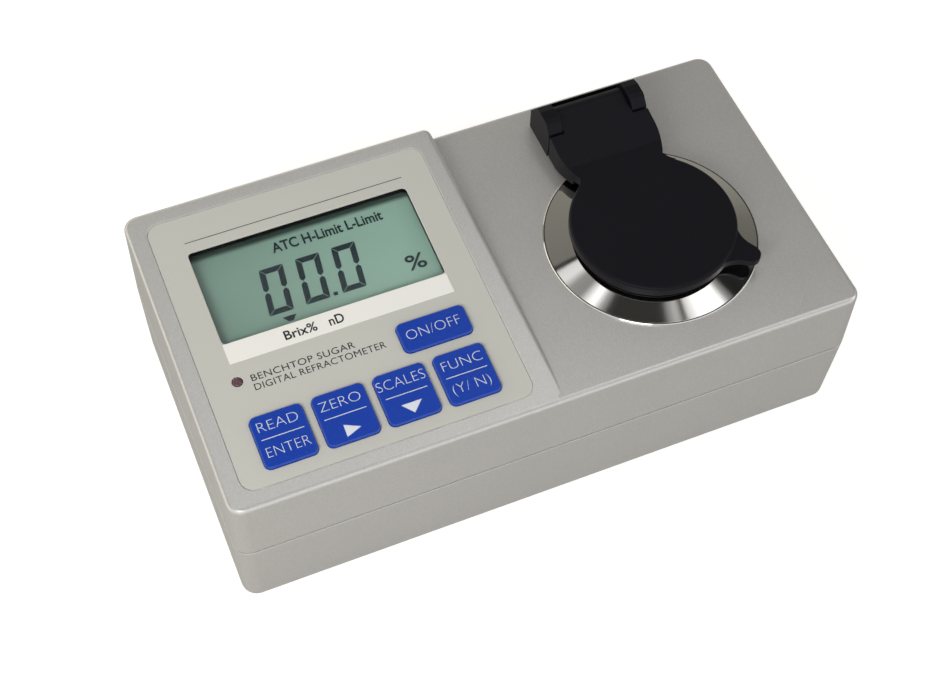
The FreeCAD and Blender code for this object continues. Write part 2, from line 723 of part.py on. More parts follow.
def indicator_lamp():
    """Small round lamp on the board whose dome shows through the overlay."""
    x = LEFT + LAMP_LEFT
    y = FRONT + LAMP_FRONT
    foot = DECK_Z - BOARD_TOP
    stalk = rod(x, y, foot, DECK_Z + LAMP_PROUD, LAMP_R)
    rim = [edge for edge in stalk.Edges if edge.Closed and edge.CenterOfMass.z > DECK_Z]
    stalk = stalk.makeFillet(LAMP_R * 0.6, rim)
    flange = rod(x, y, foot, foot + LAMP_FLANGE_H, LAMP_FLANGE_R)
    return tilt(joined([stalk, flange]))


# ================================================================ sample stage and optics
def well_bottom():
    return DECK_Z - WELL_DEPTH


def sample_stage():
    """Polished turned stage: coned ring outside, dished sample well inside, threaded spigot below."""
    rim_z = DECK_Z + STAGE_RIM_H
    lip = STAGE_RIM_R - STAGE_RIM_W
    foot_z = DECK_Z - BOSS_DEPTH
    hole = PRISM_R + PRISM_GAP
    seat_r = PRISM_R + PRISM_SEAL_W
    seat_z = well_bottom() - PRISM_SEAL_H
    roof_z = DECK_Z - WELL_DEPTH / 2
    spigot_in = SPIGOT_R - SPIGOT_WALL
    points = [
        (STAGE_R, DECK_Z), (STAGE_R, DECK_Z + STAGE_FLANGE_H - 0.25),
        (STAGE_R - 0.25, DECK_Z + STAGE_FLANGE_H), (STAGE_R - 0.6, DECK_Z + STAGE_FLANGE_H),
        (STAGE_RIM_R, rim_z), (lip, rim_z),
    ]
    edges = [line(points[i], points[i + 1]) for i in range(len(points) - 1)]
    edges.append(arc((lip, rim_z), (WELL_FLOOR_R, well_bottom()), WELL_BULGE))
    inner = [
        (WELL_FLOOR_R, well_bottom()), (seat_r, well_bottom()), (seat_r, seat_z), (hole, seat_z),
        (hole, foot_z), (STAGE_BOSS_R, foot_z), (STAGE_BOSS_R, roof_z), (spigot_in, roof_z),
        (spigot_in, foot_z), (SPIGOT_R, foot_z), (SPIGOT_R, DECK_Z), (GROOVE_R_IN, DECK_Z),
        (GROOVE_R_IN, DECK_Z + SEAL_T / 2), (GROOVE_R_OUT, DECK_Z + SEAL_T / 2), (GROOVE_R_OUT, DECK_Z),
        (STAGE_R, DECK_Z),
    ]
    edges += [line(inner[i], inner[i + 1]) for i in range(len(inner) - 1)]
    stage = turned(edges, STAGE_X, STAGE_Y)
    cuts = [rod(x, y, foot_z - 1, foot_z + OPTICS_SCREW_BITE, OPTICS_SCREW_R + THREAD_GAP)
            for x, y in optics_screw_places()]
    cuts.append(rod(STAGE_X, STAGE_Y + PROBE_Y, foot_z - 1, foot_z + PROBE_BITE, PROBE_R + PRISM_GAP))
    return stage.cut(cuts)


def stage_gasket():
    """Flat seal in the groove under the stage's flange."""
    return ring(STAGE_X, STAGE_Y, DECK_Z, DECK_Z + SEAL_T / 2, GROOVE_R_IN, GROOVE_R_OUT)


def stage_ring_nut():
    """Slotted ring nut on the spigot that pulls the stage down on the deck from inside."""
    top = DECK_Z - WALL
    nut = ring(STAGE_X, STAGE_Y, top - NUT_T, top, SPIGOT_R + PRISM_GAP, NUT_R)
    slots = []
    for index in range(NUT_SLOTS):
        slot = box(NUT_R - NUT_SLOT_DEPTH, -NUT_SLOT_W / 2, top - NUT_T - 1, NUT_R + 1, NUT_SLOT_W / 2, top + 1)
        slot.rotate(Vector(0, 0, 0), UP, index * 360 / NUT_SLOTS)
        slot.translate(Vector(STAGE_X, STAGE_Y, 0))
        slots.append(slot)
    return nut.cut(slots)


def prism():
    """Measuring prism: round window flush with the well's floor, wedge below it in the optics block."""
    neck_z = DECK_Z - BOSS_DEPTH
    window = rod(STAGE_X, STAGE_Y, neck_z, well_bottom(), PRISM_R)
    outline = [(STAGE_X - PRISM_DEPTH_Y / 2 - 1, neck_z), (STAGE_X + PRISM_DEPTH_Y / 2 + 1, neck_z),
               (STAGE_X + PRISM_FOOT / 2, neck_z - PRISM_DROP), (STAGE_X - PRISM_FOOT / 2, neck_z - PRISM_DROP)]
    wedge = prism_y(outline, STAGE_Y - PRISM_DEPTH_Y / 2, STAGE_Y + PRISM_DEPTH_Y / 2)
    return joined([window, wedge])


def prism_seal():
    """Ring that seals the prism into the well's floor."""
    top = well_bottom()
    return ring(STAGE_X, STAGE_Y, top - PRISM_SEAL_H, top, PRISM_R, PRISM_R + PRISM_SEAL_W)


def optics_screw_places():
    return [(STAGE_X + side * OPTICS_SCREW_X, STAGE_Y + end * OPTICS_SCREW_Y)
            for side in (-1, 1) for end in (-1, 1)]


def channel_z():
    """Height of the light path through the optics block."""
    return DECK_Z - BOSS_DEPTH - PRISM_DROP / 2 - 1


def optics_block():
    """Black block under the stage that holds prism, lamp, lens and sensor in line."""
    top = DECK_Z - BOSS_DEPTH
    low = top - OPTICS_H
    half_l = OPTICS_LENGTH / 2
    half_w = OPTICS_WIDTH / 2
    outline = [(STAGE_X - half_l, top), (STAGE_X + half_l, top), (STAGE_X + half_l, low + OPTICS_EDGE),
               (STAGE_X + half_l - OPTICS_EDGE, low), (STAGE_X - half_l + OPTICS_EDGE, low),
               (STAGE_X - half_l, low + OPTICS_EDGE)]
    block = prism_y(outline, STAGE_Y - half_w, STAGE_Y + half_w)
    z = channel_z()
    room = PRISM_DEPTH_Y / 2 + 1 + PRISM_GAP
    wide = PRISM_DEPTH_Y / 2 + PRISM_GAP
    cuts = [box(STAGE_X - room, STAGE_Y - wide, top - PRISM_DROP - 1, STAGE_X + room, STAGE_Y + wide, top + 1)]
    cuts.append(rod_x(STAGE_X - half_l - 1, STAGE_X, STAGE_Y, z, CHANNEL_R))
    cuts.append(box(STAGE_X, STAGE_Y - SENSOR_W / 2, z - SENSOR_H / 2, STAGE_X + half_l + 1,
                    STAGE_Y + SENSOR_W / 2, z + SENSOR_H / 2))
    for x, y in optics_screw_places():
        cuts.append(rod(x, y, low - 1, top + 1, OPTICS_SCREW_R + SCREW_GAP / 2))
        cuts.append(rod(x, y, low - 1, low + OPTICS_SCREW_HEAD_H, OPTICS_SCREW_HEAD_R + SCREW_GAP / 2))
    cuts.append(rod(STAGE_X, STAGE_Y + PROBE_Y, low - 1, top + 1, PROBE_R + PRISM_GAP))
    return block.cut(cuts)


def optics_screws():
    """Four screws that hang the optics block from the stage."""
    screws = []
    low = DECK_Z - BOSS_DEPTH - OPTICS_H
    for x, y in optics_screw_places():
        head = rod(x, y, low, low + OPTICS_SCREW_HEAD_H, OPTICS_SCREW_HEAD_R)
        shank = rod(x, y, low, DECK_Z - BOSS_DEPTH + OPTICS_SCREW_BITE, OPTICS_SCREW_R)
        screws.append(joined([head, shank]))
    return group(screws)


def light_source():
    """Round lamp in the left end of the light channel."""
    x0 = STAGE_X - OPTICS_LENGTH / 2
    body = rod_x(x0, x0 + LAMP_BODY_L, STAGE_Y, channel_z(), LAMP_BODY_R)
    rim = [edge for edge in body.Edges if edge.Closed and edge.CenterOfMass.x > x0 + 1]
    body = body.makeFillet(LAMP_BODY_R * 0.6, rim)
    return joined([body, rod_x(x0, x0 + 1, STAGE_Y, channel_z(), CHANNEL_R)])


def collimator_lens():
    """Plano-convex lens between lamp and prism."""
    x0 = STAGE_X - OPTICS_LENGTH / 2 + LAMP_BODY_L + 1
    blank = rod_x(x0, x0 + LENS_T, STAGE_Y, channel_z(), CHANNEL_R)
    ball = Part.makeSphere(CHANNEL_R * 1.6, Vector(x0 + LENS_T - CHANNEL_R * 1.6, STAGE_Y, channel_z()))
    return blank.common(ball)


def sensor_array():
    """Line sensor in the right end of the light channel."""
    x1 = STAGE_X + OPTICS_LENGTH / 2
    z = channel_z()
    return box(x1 - SENSOR_L, STAGE_Y - SENSOR_W / 2, z - SENSOR_H / 2, x1, STAGE_Y + SENSOR_W / 2,
               z + SENSOR_H / 2)


def sensor_board():
    """Small upright board on the right end of the optics block."""
    x0 = STAGE_X + OPTICS_LENGTH / 2
    top = DECK_Z - BOSS_DEPTH - 1
    half = SENSOR_BOARD_W / 2
    return box(x0, STAGE_Y - half, top - SENSOR_BOARD_H, x0 + SENSOR_BOARD_T, STAGE_Y + half, top)


def temperature_probe():
    """Slim probe whose tip sits in the underside of the stage."""
    low = DECK_Z - BOSS_DEPTH - OPTICS_H
    return rod(STAGE_X, STAGE_Y + PROBE_Y, low, DECK_Z - BOSS_DEPTH + PROBE_BITE, PROBE_R)


# ================================================================ lid and hinge
def hinge_screw_xs():
    reach = BLOCK_LENGTH / 2 - EAR_T / 2
    return STAGE_X - reach, STAGE_X + reach


def hinge_block():
    """Hinge block on the deck: floor, low back wall and two ears that carry the pin."""
    front = HINGE_Y - 6.6
    back = HINGE_Y + 5.7
    outline = [
        (front, DECK_Z), (HINGE_Y - 7.0, DECK_Z + 4.6), (HINGE_Y - 7.0, DECK_Z + 7.4),
        (HINGE_Y - 6.7, DECK_Z + 9.2), (HINGE_Y - 4.8, DECK_Z + 11.4), (HINGE_Y - 3.6, DECK_Z + 12.0),
        (HINGE_Y - 0.2, DECK_Z + 12.0), (HINGE_Y + 2.3, DECK_Z + 11.3), (back, DECK_Z + 6.9), (back, DECK_Z),
    ]
    half = BLOCK_LENGTH / 2
    block = prism_x(outline, STAGE_X - half, STAGE_X + half)
    inner = half - EAR_T
    wall_y = HINGE_Y + KNUCKLE_R + BLOCK_STOP_GAP
    cuts = [box(STAGE_X - inner, front - 5, DECK_Z + BLOCK_FLOOR, STAGE_X + inner, wall_y, DECK_Z + 20)]
    cuts.append(rod_x(STAGE_X - half + PIN_END_WALL, STAGE_X + half + 1, HINGE_Y, HINGE_Z, PIN_R + PIN_FIT))
    for x in hinge_screw_xs():
        cuts.append(rod(x, HINGE_Y, DECK_Z - 1, DECK_Z + HINGE_SCREW_TOP, HINGE_SCREW_R + THREAD_GAP))
    return block.cut(cuts)


def hinge_pin():
    half = BLOCK_LENGTH / 2
    return rod_x(STAGE_X - half + PIN_END_WALL, STAGE_X + half - PIN_END_WALL / 2, HINGE_Y, HINGE_Z, PIN_R)


def hinge_screws():
    """Two screws from inside the housing up into the ears."""
    screws = []
    seat = DECK_Z - WALL
    for x in hinge_screw_xs():
        head = rod(x, HINGE_Y, seat - OPTICS_SCREW_HEAD_H, seat, OPTICS_SCREW_HEAD_R)
        shank = rod(x, HINGE_Y, seat - OPTICS_SCREW_HEAD_H, DECK_Z + HINGE_SCREW_TOP, HINGE_SCREW_R)
        screws.append(joined([head, shank]))
    return group(screws)


def plan_arc(a, middle, b):
    return Part.Arc(*[Vector(p[0], p[1], 0) for p in (a, middle, b)]).toShape()


def plan_line(a, b):
    return Part.makeLine(Vector(a[0], a[1], 0), Vector(b[0], b[1], 0))


def arm_plan(inset):
    """Plan of the lid's arm: full width at the hinge, waisted at the neck, flared into the disc."""
    wide = BLOCK_LENGTH / 2 - inset
    neck = ARM_NECK_HALF - inset
    back = HINGE_Y - ARM_BACK_GAP - inset
    straight = HINGE_Y - ARM_STRAIGHT
    neck_y = HINGE_Y - ARM_NECK
    root = wide
    root_y = STAGE_Y + math.sqrt(LID_R ** 2 - (BLOCK_LENGTH / 2) ** 2) - 0.2 - inset
    edges = []
    for side in (1, -1):
        waist = [(side * wide, straight), (side * (wide - 0.45), straight - 4.5), (side * neck, neck_y)]
        flare = [(side * neck, neck_y), (side * (neck + 0.75), neck_y - 1.5), (side * root, root_y)]
        edges.append(plan_line((side * wide, back), (side * wide, straight)))
        edges.append(plan_arc(*waist))
        edges.append(plan_arc(*flare))
    edges.append(plan_line((-wide, back), (wide, back)))
    edges.append(plan_line((-root, root_y), (root, root_y)))
    plan = Part.Face(Part.Wire(Part.__sortEdges__(edges)))
    arm = plan.extrude(Vector(0, 0, TALL))
    arm.translate(Vector(STAGE_X, 0, DECK_Z - 5))
    return arm


def lid_arm():
    """Arm from the disc to the hinge: sloping roof with side walls that reach down near the deck."""
    seat_y = STAGE_Y + SKIRT_R + 0.5
    slot_y = HINGE_Y - ARM_BACK_GAP
    crease_y = HINGE_Y - ARM_CREASE
    roof_z = HINGE_Z + KNUCKLE_R
    disc_z = DECK_Z + LID_TOP
    under_z = disc_z - LID_T
    low_z = DECK_Z + ARM_CLEAR
    clear_y = STAGE_Y + STAGE_R + ARM_CLEAR
    near = STAGE_Y
    roof = [(near, disc_z), (crease_y, disc_z), (HINGE_Y, roof_z)]
    side = prism_x([(near, under_z)] + roof + [(HINGE_Y, low_z), (clear_y, low_z), (seat_y, DECK_Z + 3.0),
                                               (seat_y, under_z)], STAGE_X - 40, STAGE_X + 40)
    shell = arm_plan(0).common(side)
    drop = ARM_WALL
    hollow = prism_x([(seat_y + drop, DECK_Z), (seat_y + drop, disc_z - drop), (crease_y, disc_z - drop),
                      (HINGE_Y, roof_z - drop), (HINGE_Y, DECK_Z)], STAGE_X - 40, STAGE_X + 40)
    shell = shell.cut(arm_plan(ARM_WALL).common(hollow))
    half = BLOCK_LENGTH / 2 - EAR_T - EAR_GAP
    web = prism_x([(slot_y - ARM_WALL, roof_z - 1.2 - drop), (HINGE_Y, roof_z - drop - 1.2), (HINGE_Y, roof_z),
                   (slot_y - ARM_WALL, roof_z - (roof_z - disc_z) * (ARM_BACK_GAP + ARM_WALL) / ARM_CREASE)],
                  STAGE_X - half, STAGE_X + half)
    knuckle = rod_x(STAGE_X - half, STAGE_X + half, HINGE_Y, HINGE_Z, KNUCKLE_R)
    return [shell, web, knuckle]


def lid_tab():
    """Thumb tab that runs out from the disc's front right edge and slopes down to its tip."""
    root_x = math.sqrt(LID_R ** 2 - TAB_ROOT_HALF ** 2) - 0.3
    flank_x = TAB_REACH - 4.2
    end_x = TAB_REACH - TAB_TIP_ROUND
    end_half = TAB_TIP_HALF - TAB_TIP_TAPER
    edges = []
    for side in (1, -1):
        root = (root_x, side * TAB_ROOT_HALF)
        waist = (root_x + 2.6, side * (TAB_ROOT_HALF - 4.2))
        flank = (flank_x, side * TAB_TIP_HALF)
        shoulder = (end_x, side * end_half)
        edges.append(plan_arc(root, waist, flank))
        edges.append(plan_line(flank, shoulder))
    tip = (TAB_REACH, 0)
    edges.append(plan_arc((end_x, -end_half), tip, (end_x, end_half)))
    edges.append(plan_line((root_x, -TAB_ROOT_HALF), (root_x, TAB_ROOT_HALF)))
    tab = Part.Face(Part.Wire(Part.__sortEdges__(edges))).extrude(Vector(0, 0, TALL))
    under = TAB_TOP - TAB_T
    outline = [(0, LID_TOP - LID_T), (root_x, LID_TOP - LID_T), (TAB_REACH + 1, under), (TAB_REACH + 1, TAB_TOP),
               (root_x, LID_TOP - LID_EDGE_R), (0, LID_TOP - LID_EDGE_R)]
    tab = tab.common(prism_y(outline, -TALL, TALL))
    tab.rotate(Vector(0, 0, 0), UP, TAB_ANGLE)
    tab.translate(Vector(STAGE_X, STAGE_Y, DECK_Z))
    return tab


def lid_cover():
    """Moulded lid: disc with a rounded edge, thumb tab, arm and hinge knuckle in one piece."""
    top = DECK_Z + LID_TOP
    under = top - LID_T
    disc = rod(STAGE_X, STAGE_Y, under, top, LID_R)
    rim = [edge for edge in disc.Edges if edge.Closed and edge.CenterOfMass.z > top - 0.01]
    disc = disc.makeFillet(LID_EDGE_R, rim)
    lid = joined([disc, lid_tab()] + lid_arm())
    cuts = [rod(STAGE_X, STAGE_Y, under - 1, under + LID_HOLLOW, LID_HOLLOW_R)]
    cuts.append(ring(STAGE_X, STAGE_Y, under - 1, under + SKIRT_BITE, SKIRT_R - SKIRT_T, SKIRT_R))
    cuts.append(rod_x(STAGE_X - 40, STAGE_X + 40, HINGE_Y, HINGE_Z, PIN_R + PIN_RUN))
    return lid.cut(cuts)


def lid_seal():
    """Dark skirt ring under the disc, which keeps stray light out of the well."""
    under = DECK_Z + LID_TOP - LID_T
    return ring(STAGE_X, STAGE_Y, DECK_Z + STAGE_RIM_H + SKIRT_GAP, under + SKIRT_BITE, SKIRT_R - SKIRT_T, SKIRT_R)


# ================================================================ battery bay
def battery_door():
    """Flush door in the base: round edge and two hooks at its left end, finger dish at its right end."""
    edge_x, y0 = bay_corner()
    gap = DOOR_GAP
    x0 = edge_x + gap
    x1 = edge_x + BAY_LENGTH - gap
    edge_r = DOOR_T / 2
    plate = box(x0 + edge_r, y0 + gap, BASE_Z, x1, y0 + BAY_WIDTH - gap, BASE_Z + DOOR_T)
    edge = Part.makeCylinder(edge_r, BAY_WIDTH - 2 * gap, Vector(x0 + edge_r, y0 + gap, BASE_Z + edge_r),
                             Vector(0, 1, 0))
    hooks = []
    hook_z = FLOOR_Z + HOOK_LIFT
    for y in (-HOOK_SPREAD, HOOK_SPREAD):
        outline = [(x0, BASE_Z + DOOR_T / 2), (x0 + HOOK_T, BASE_Z + DOOR_T / 2), (x0 + HOOK_T, hook_z + HOOK_T),
                   (edge_x - HOOK_REACH, hook_z + HOOK_T), (edge_x - HOOK_REACH, hook_z),
                   (x0, hook_z)]
        hooks.append(prism_y(outline, y - HOOK_W / 2, y + HOOK_W / 2))
    door = joined([plate, edge] + hooks)
    ball_r = (GRIP_R ** 2 + GRIP_DEPTH ** 2) / (2 * GRIP_DEPTH)
    dish = Part.makeSphere(ball_r, Vector(x1 - GRIP_R - 2, 0, BASE_Z + GRIP_DEPTH - ball_r))
    return door.cut(dish)


def battery_place():
    """Left end, middle line and underside of the battery."""
    return LEFT + BAY_FROM_LEFT + DOOR_GAP + HOOK_T + BATTERY_END_GAP, 0.0, BASE_Z + DOOR_T + BATTERY_LIFT


def battery():
    """Rectangular battery with its two round terminals on the right end."""
    x, y, z = battery_place()
    half = BATTERY_W / 2
    body = box(x, y - half, z, x + BATTERY_L, y + half, z + BATTERY_H)
    mid = z + BATTERY_H / 2
    ends = [rod_x(x + BATTERY_L, x + BATTERY_L + TERMINAL_H, y + side * half / 2, mid, TERMINAL_R)
            for side in (-1, 1)]
    return joined([body] + ends)


def battery_snap():
    """Clip-on connector that covers both terminals."""
    x, y, z = battery_place()
    half = BATTERY_W / 2 - 0.5
    mid = z + BATTERY_H / 2
    x0 = x + BATTERY_L
    body = slab(x0, y - half, x0 + SNAP_T, y + half, 1.0, mid - SNAP_H / 2, mid + SNAP_H / 2)
    wells = [rod_x(x0 - 1, x0 + TERMINAL_H + 0.1, y + side * BATTERY_W / 4, mid, TERMINAL_R + 0.1)
             for side in (-1, 1)]
    return body.cut(wells)


def rounded_path(points):
    """Straight runs joined by tangent arcs, each as large as its two runs allow."""
    corners = [Vector(*point) for point in points]
    edges = []
    start = corners[0]
    for before, corner, after in zip(corners, corners[1:], corners[2:]):
        reach = 0.45 * min((before - corner).Length, (after - corner).Length)
        back = (before - corner).normalize()
        ahead = (after - corner).normalize()
        half_turn = (math.pi - back.getAngle(ahead)) / 2
        radius = reach / math.tan(half_turn)
        enter = corner + back * reach
        leave = corner + ahead * reach
        middle_way = (back + ahead).normalize()
        centre = corner + middle_way * (radius / math.cos(half_turn))
        edges.append(Part.LineSegment(start, enter).toShape())
        edges.append(Part.Arc(enter, centre - middle_way * radius, leave).toShape())
        start = leave
    edges.append(Part.LineSegment(start, corners[-1]).toShape())
    return Part.Wire(edges)


def board_underside(y):
    """Height of the main board's underside at y, less the length of a solder tail."""
    return DECK_Z - BOARD_BOTTOM + PANEL_SLOPE * (y - CREASE_Y) - TAIL_GAP


def battery_leads():
    """Two insulated wires that rise from the battery snap to the main board in a slack bend."""
    x, y, z = battery_place()
    x0 = x + BATTERY_L + SNAP_T / 2
    z0 = z + BATTERY_H / 2 + SNAP_H / 2
    leads = []
    for side in (-1, 1):
        lane = y + side * LEAD_SPREAD
        z1 = board_underside(lane)
        rise = (z1 - z0) / 3
        points = [(x0, lane, z0), (x0, lane, z0 + rise), (x0 - LEAD_SLACK, lane, z1 - rise), (x0 - LEAD_SLACK, lane, z1)]
        section = Part.Wire(Part.makeCircle(LEAD_R, Vector(*points[0]), UP))
        leads.append(rounded_path(points).makePipeShell([section], True, False))
    return group(leads)


def ribbon_cable():
    """Flat cable from the sensor board, under the optics block, up to the main board."""
    start_x = STAGE_X + OPTICS_LENGTH / 2 + SENSOR_BOARD_T
    plug_z = DECK_Z - BOSS_DEPTH - RIBBON_PLUG_DROP
    low_z = DECK_Z - BOSS_DEPTH - OPTICS_H - RIBBON_UNDER
    board_x = STEP_X - BOARD_STEP_GAP - RIBBON_INSET
    board_z = board_underside(STAGE_Y - RIBBON_W / 2)
    points = [(start_x, STAGE_Y, plug_z), (start_x + RIBBON_OUT, STAGE_Y, plug_z),
              (start_x + RIBBON_OUT, STAGE_Y, low_z), (board_x, STAGE_Y, low_z), (board_x, STAGE_Y, board_z)]
    half_w = RIBBON_W / 2
    half_t = RIBBON_T / 2
    corners = [Vector(start_x, STAGE_Y + a * half_w, plug_z + b * half_t)
               for a, b in ((-1, -1), (1, -1), (1, 1), (-1, 1))]
    section = Part.makePolygon(corners + corners[:1])
    return rounded_path(points).makePipeShell([section], True, False)


# ================================================================ export
def build():
    parts = {
        "upper_housing": upper_housing(),
        "lower_housing": lower_housing(),
        "housing_screws": housing_screws(),
        "rubber_feet": rubber_feet(),
        "panel_overlay": panel_overlay(),
        "display_window": display_window(),
        "legend_strip": legend_strip(),
        "key_switches": key_switches(),
        "main_board": main_board(),
        "board_screws": board_screws(),
        "controller_chip": controller_chip(),
        "lcd_glass": lcd_glass(),
        "lcd_frame": lcd_frame(),
        "zebra_connectors": zebra_connectors(),
        "indicator_lamp": indicator_lamp(),
        "sample_stage": sample_stage(),
        "stage_gasket": stage_gasket(),
        "stage_ring_nut": stage_ring_nut(),
        "prism": prism(),
        "prism_seal": prism_seal(),
        "optics_block": optics_block(),
        "optics_screws": optics_screws(),
        "light_source": light_source(),
        "collimator_lens": collimator_lens(),
        "sensor_array": sensor_array(),
        "sensor_board": sensor_board(),
        "temperature_probe": temperature_probe(),
        "hinge_block": hinge_block(),
        "hinge_pin": hinge_pin(),
        "hinge_screws": hinge_screws(),
        "lid_cover": lid_cover(),
        "lid_seal": lid_seal(),
        "battery_door": battery_door(),
        "battery": battery(),
        "battery_snap": battery_snap(),
        "battery_leads": battery_leads(),
        "ribbon_cable": ribbon_cable(),
    }
    for name, x0, y0, x1, y1 in key_outlines():
        parts[name + "_key"] = key_cap(x0, y0, x1, y1)
        parts[name + "_plunger"] = switch_plunger((x0 + x1) / 2, (y0 + y1) / 2)
    return parts


os.makedirs("parts", exist_ok=True)
for node, shape in build().items():
    shape.exportStep("parts/" + node + ".step")
    print(node, "valid" if shape.isValid() else "INVALID", len(shape.Solids), "solid", round(shape.Volume, 1))
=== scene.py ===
import json
import math

import bmesh
import bpy
import numpy as np
from mathutils import Matrix, Vector


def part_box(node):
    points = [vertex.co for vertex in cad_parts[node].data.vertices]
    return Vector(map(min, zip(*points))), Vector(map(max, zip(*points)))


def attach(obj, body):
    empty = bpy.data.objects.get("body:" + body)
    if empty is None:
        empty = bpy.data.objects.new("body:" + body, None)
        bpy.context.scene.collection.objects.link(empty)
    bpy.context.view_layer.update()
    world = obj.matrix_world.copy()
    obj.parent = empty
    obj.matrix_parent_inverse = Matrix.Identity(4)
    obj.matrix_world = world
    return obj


# Benchtop digital refractometer, in metres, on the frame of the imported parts.
# +X runs from the control panel to the sample stage, +Y from front to back, +Z up.
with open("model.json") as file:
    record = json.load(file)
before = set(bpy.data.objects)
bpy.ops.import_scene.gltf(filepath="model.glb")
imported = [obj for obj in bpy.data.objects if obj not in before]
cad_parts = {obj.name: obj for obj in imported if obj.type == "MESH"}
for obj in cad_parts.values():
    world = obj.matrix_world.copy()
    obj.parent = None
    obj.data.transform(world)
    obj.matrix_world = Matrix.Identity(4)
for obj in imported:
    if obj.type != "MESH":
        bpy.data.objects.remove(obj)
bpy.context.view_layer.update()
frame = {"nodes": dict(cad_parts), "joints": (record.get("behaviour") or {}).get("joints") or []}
cad = frame["nodes"]
MM = 0.001


# ---------------------------------------------------------------- table, light and camera
# The instrument stands on a seamless pale table in a tent of white cloth, whose brightness goes
# in bands by height. Three soft lamps add light from the front, the right and close by on the left.
# The table is clear from below, so that the base can be seen.
TABLE_REACH = 4.0
TABLE_RINGS = 24
TABLE_SPOKES = 64


def table_top():
    """Disc on the ground: radius grows with the square of the ring number, angle evenly round."""
    share = np.linspace(0.0, 1.0, TABLE_RINGS + 1)[1:, None]
    turn = np.linspace(0.0, 2 * np.pi, TABLE_SPOKES, endpoint=False)[None, :]
    radius = TABLE_REACH * share ** 2
    places = np.stack([radius * np.cos(turn), radius * np.sin(turn), np.zeros_like(radius * turn)], axis=-1)
    points = np.vstack([places.reshape(-1, 3), [[0.0, 0.0, 0.0]]])
    ring = np.arange(TABLE_RINGS - 1)[:, None] * TABLE_SPOKES
    spoke = np.arange(TABLE_SPOKES)[None, :]
    after = (spoke + 1) % TABLE_SPOKES
    outer = ring + TABLE_SPOKES
    quads = np.stack([ring + spoke, outer + spoke, outer + after, ring + after], axis=-1)
    middle = len(points) - 1
    fan = [(middle, int(i), int((i + 1) % TABLE_SPOKES)) for i in range(TABLE_SPOKES)]
    mesh = bpy.data.meshes.new("table")
    mesh.from_pydata(points.tolist(), [], quads.reshape(-1, 4).tolist() + fan)
    return mesh


table = bpy.data.objects.new("table", table_top())
bpy.context.scene.collection.objects.link(table)
table_finish = bpy.data.materials.new("table_card")
table_finish.use_nodes = True
table_nodes = table_finish.node_tree.nodes
table_links = table_finish.node_tree.links
card = table_nodes["Principled BSDF"]
card.inputs["Base Color"].default_value = (0.46, 0.455, 0.44, 1.0)
card.inputs["Roughness"].default_value = 0.9
card.inputs["Specular IOR Level"].default_value = 0.1
bright_card = table_nodes.new("ShaderNodeEmission")
bright_card.inputs["Strength"].default_value = 0.72
sum_card = table_nodes.new("ShaderNodeAddShader")
look_card = table_nodes.new("ShaderNodeMixShader")
ray_card = table_nodes.new("ShaderNodeLightPath")
table_links.new(card.outputs[0], sum_card.inputs[0])
table_links.new(bright_card.outputs[0], sum_card.inputs[1])
table_links.new(ray_card.outputs["Is Camera Ray"], look_card.inputs[0])
table_links.new(card.outputs[0], look_card.inputs[1])
table_links.new(sum_card.outputs[0], look_card.inputs[2])
below_card = table_nodes.new("ShaderNodeNewGeometry")
clear_card = table_nodes.new("ShaderNodeBsdfTransparent")
sided_card = table_nodes.new("ShaderNodeMixShader")
table_links.new(below_card.outputs["Backfacing"], sided_card.inputs[0])
table_links.new(look_card.outputs[0], sided_card.inputs[1])
table_links.new(clear_card.outputs[0], sided_card.inputs[2])
table_links.new(sided_card.outputs[0], table_nodes["Material Output"].inputs["Surface"])
table.data.materials.append(table_finish)

world = bpy.data.worlds.new("tent")
bpy.context.scene.world = world
world.use_nodes = True
sky = world.node_tree
sky.nodes.clear()
way = sky.nodes.new("ShaderNodeTexCoord")
split = sky.nodes.new("ShaderNodeSeparateXYZ")
sky.links.new(way.outputs["Generated"], split.inputs[0])
WARM = (1.0, 0.965, 0.86)
PLAIN = (1.0, 1.0, 1.0)

# Each tent band is (sine of the height, brightness, tint).
LEFT_TENT = (
    (0.0, 1.50, WARM), (0.42, 1.35, WARM), (0.56, 0.30, WARM), (0.846, 0.24, WARM), (0.852, 0.02, PLAIN),
    (0.860, 0.03, PLAIN), (0.868, 1.0, PLAIN), (0.895, 1.1, PLAIN), (0.915, 0.40, PLAIN),
    (0.940, 0.34, PLAIN), (0.950, 1.0, PLAIN),
    (0.962, 1.9, PLAIN), (0.972, 0.6, PLAIN), (0.981, 0.04, PLAIN), (1.0, 0.05, WARM))
RIGHT_TENT = (
    (0.0, 0.42, WARM), (0.42, 0.36, WARM), (0.55, 0.21, WARM), (0.70, 0.16, WARM), (0.735, 0.03, PLAIN),
    (0.835, 0.02, PLAIN), (0.858, 0.45, PLAIN), (0.880, 1.9, PLAIN), (0.905, 2.4, PLAIN),
    (0.930, 1.7, PLAIN), (0.950, 1.0, PLAIN), (0.957, 0.05, WARM), (1.0, 0.05, WARM))
BRIGHTEST = 2.5
FRONT_TENT = ((0.0, 1.05, PLAIN), (0.55, 0.95, PLAIN), (0.74, 0.42, PLAIN), (1.0, 0.34, PLAIN))


def tent_side(stops):
    """Brightness by height above the horizon, from the sine of the height, as a colour ramp."""
    ramp = sky.nodes.new("ShaderNodeValToRGB")
    elements = ramp.color_ramp.elements
    while len(elements) < len(stops):
        elements.new(1.0)
    for element, (height, strength, tint) in zip(elements, stops):
        element.position = height
        element.color = (*[strength / BRIGHTEST * part for part in tint], 1.0)
    sky.links.new(split.outputs["Z"], ramp.inputs[0])
    return ramp.outputs[0]


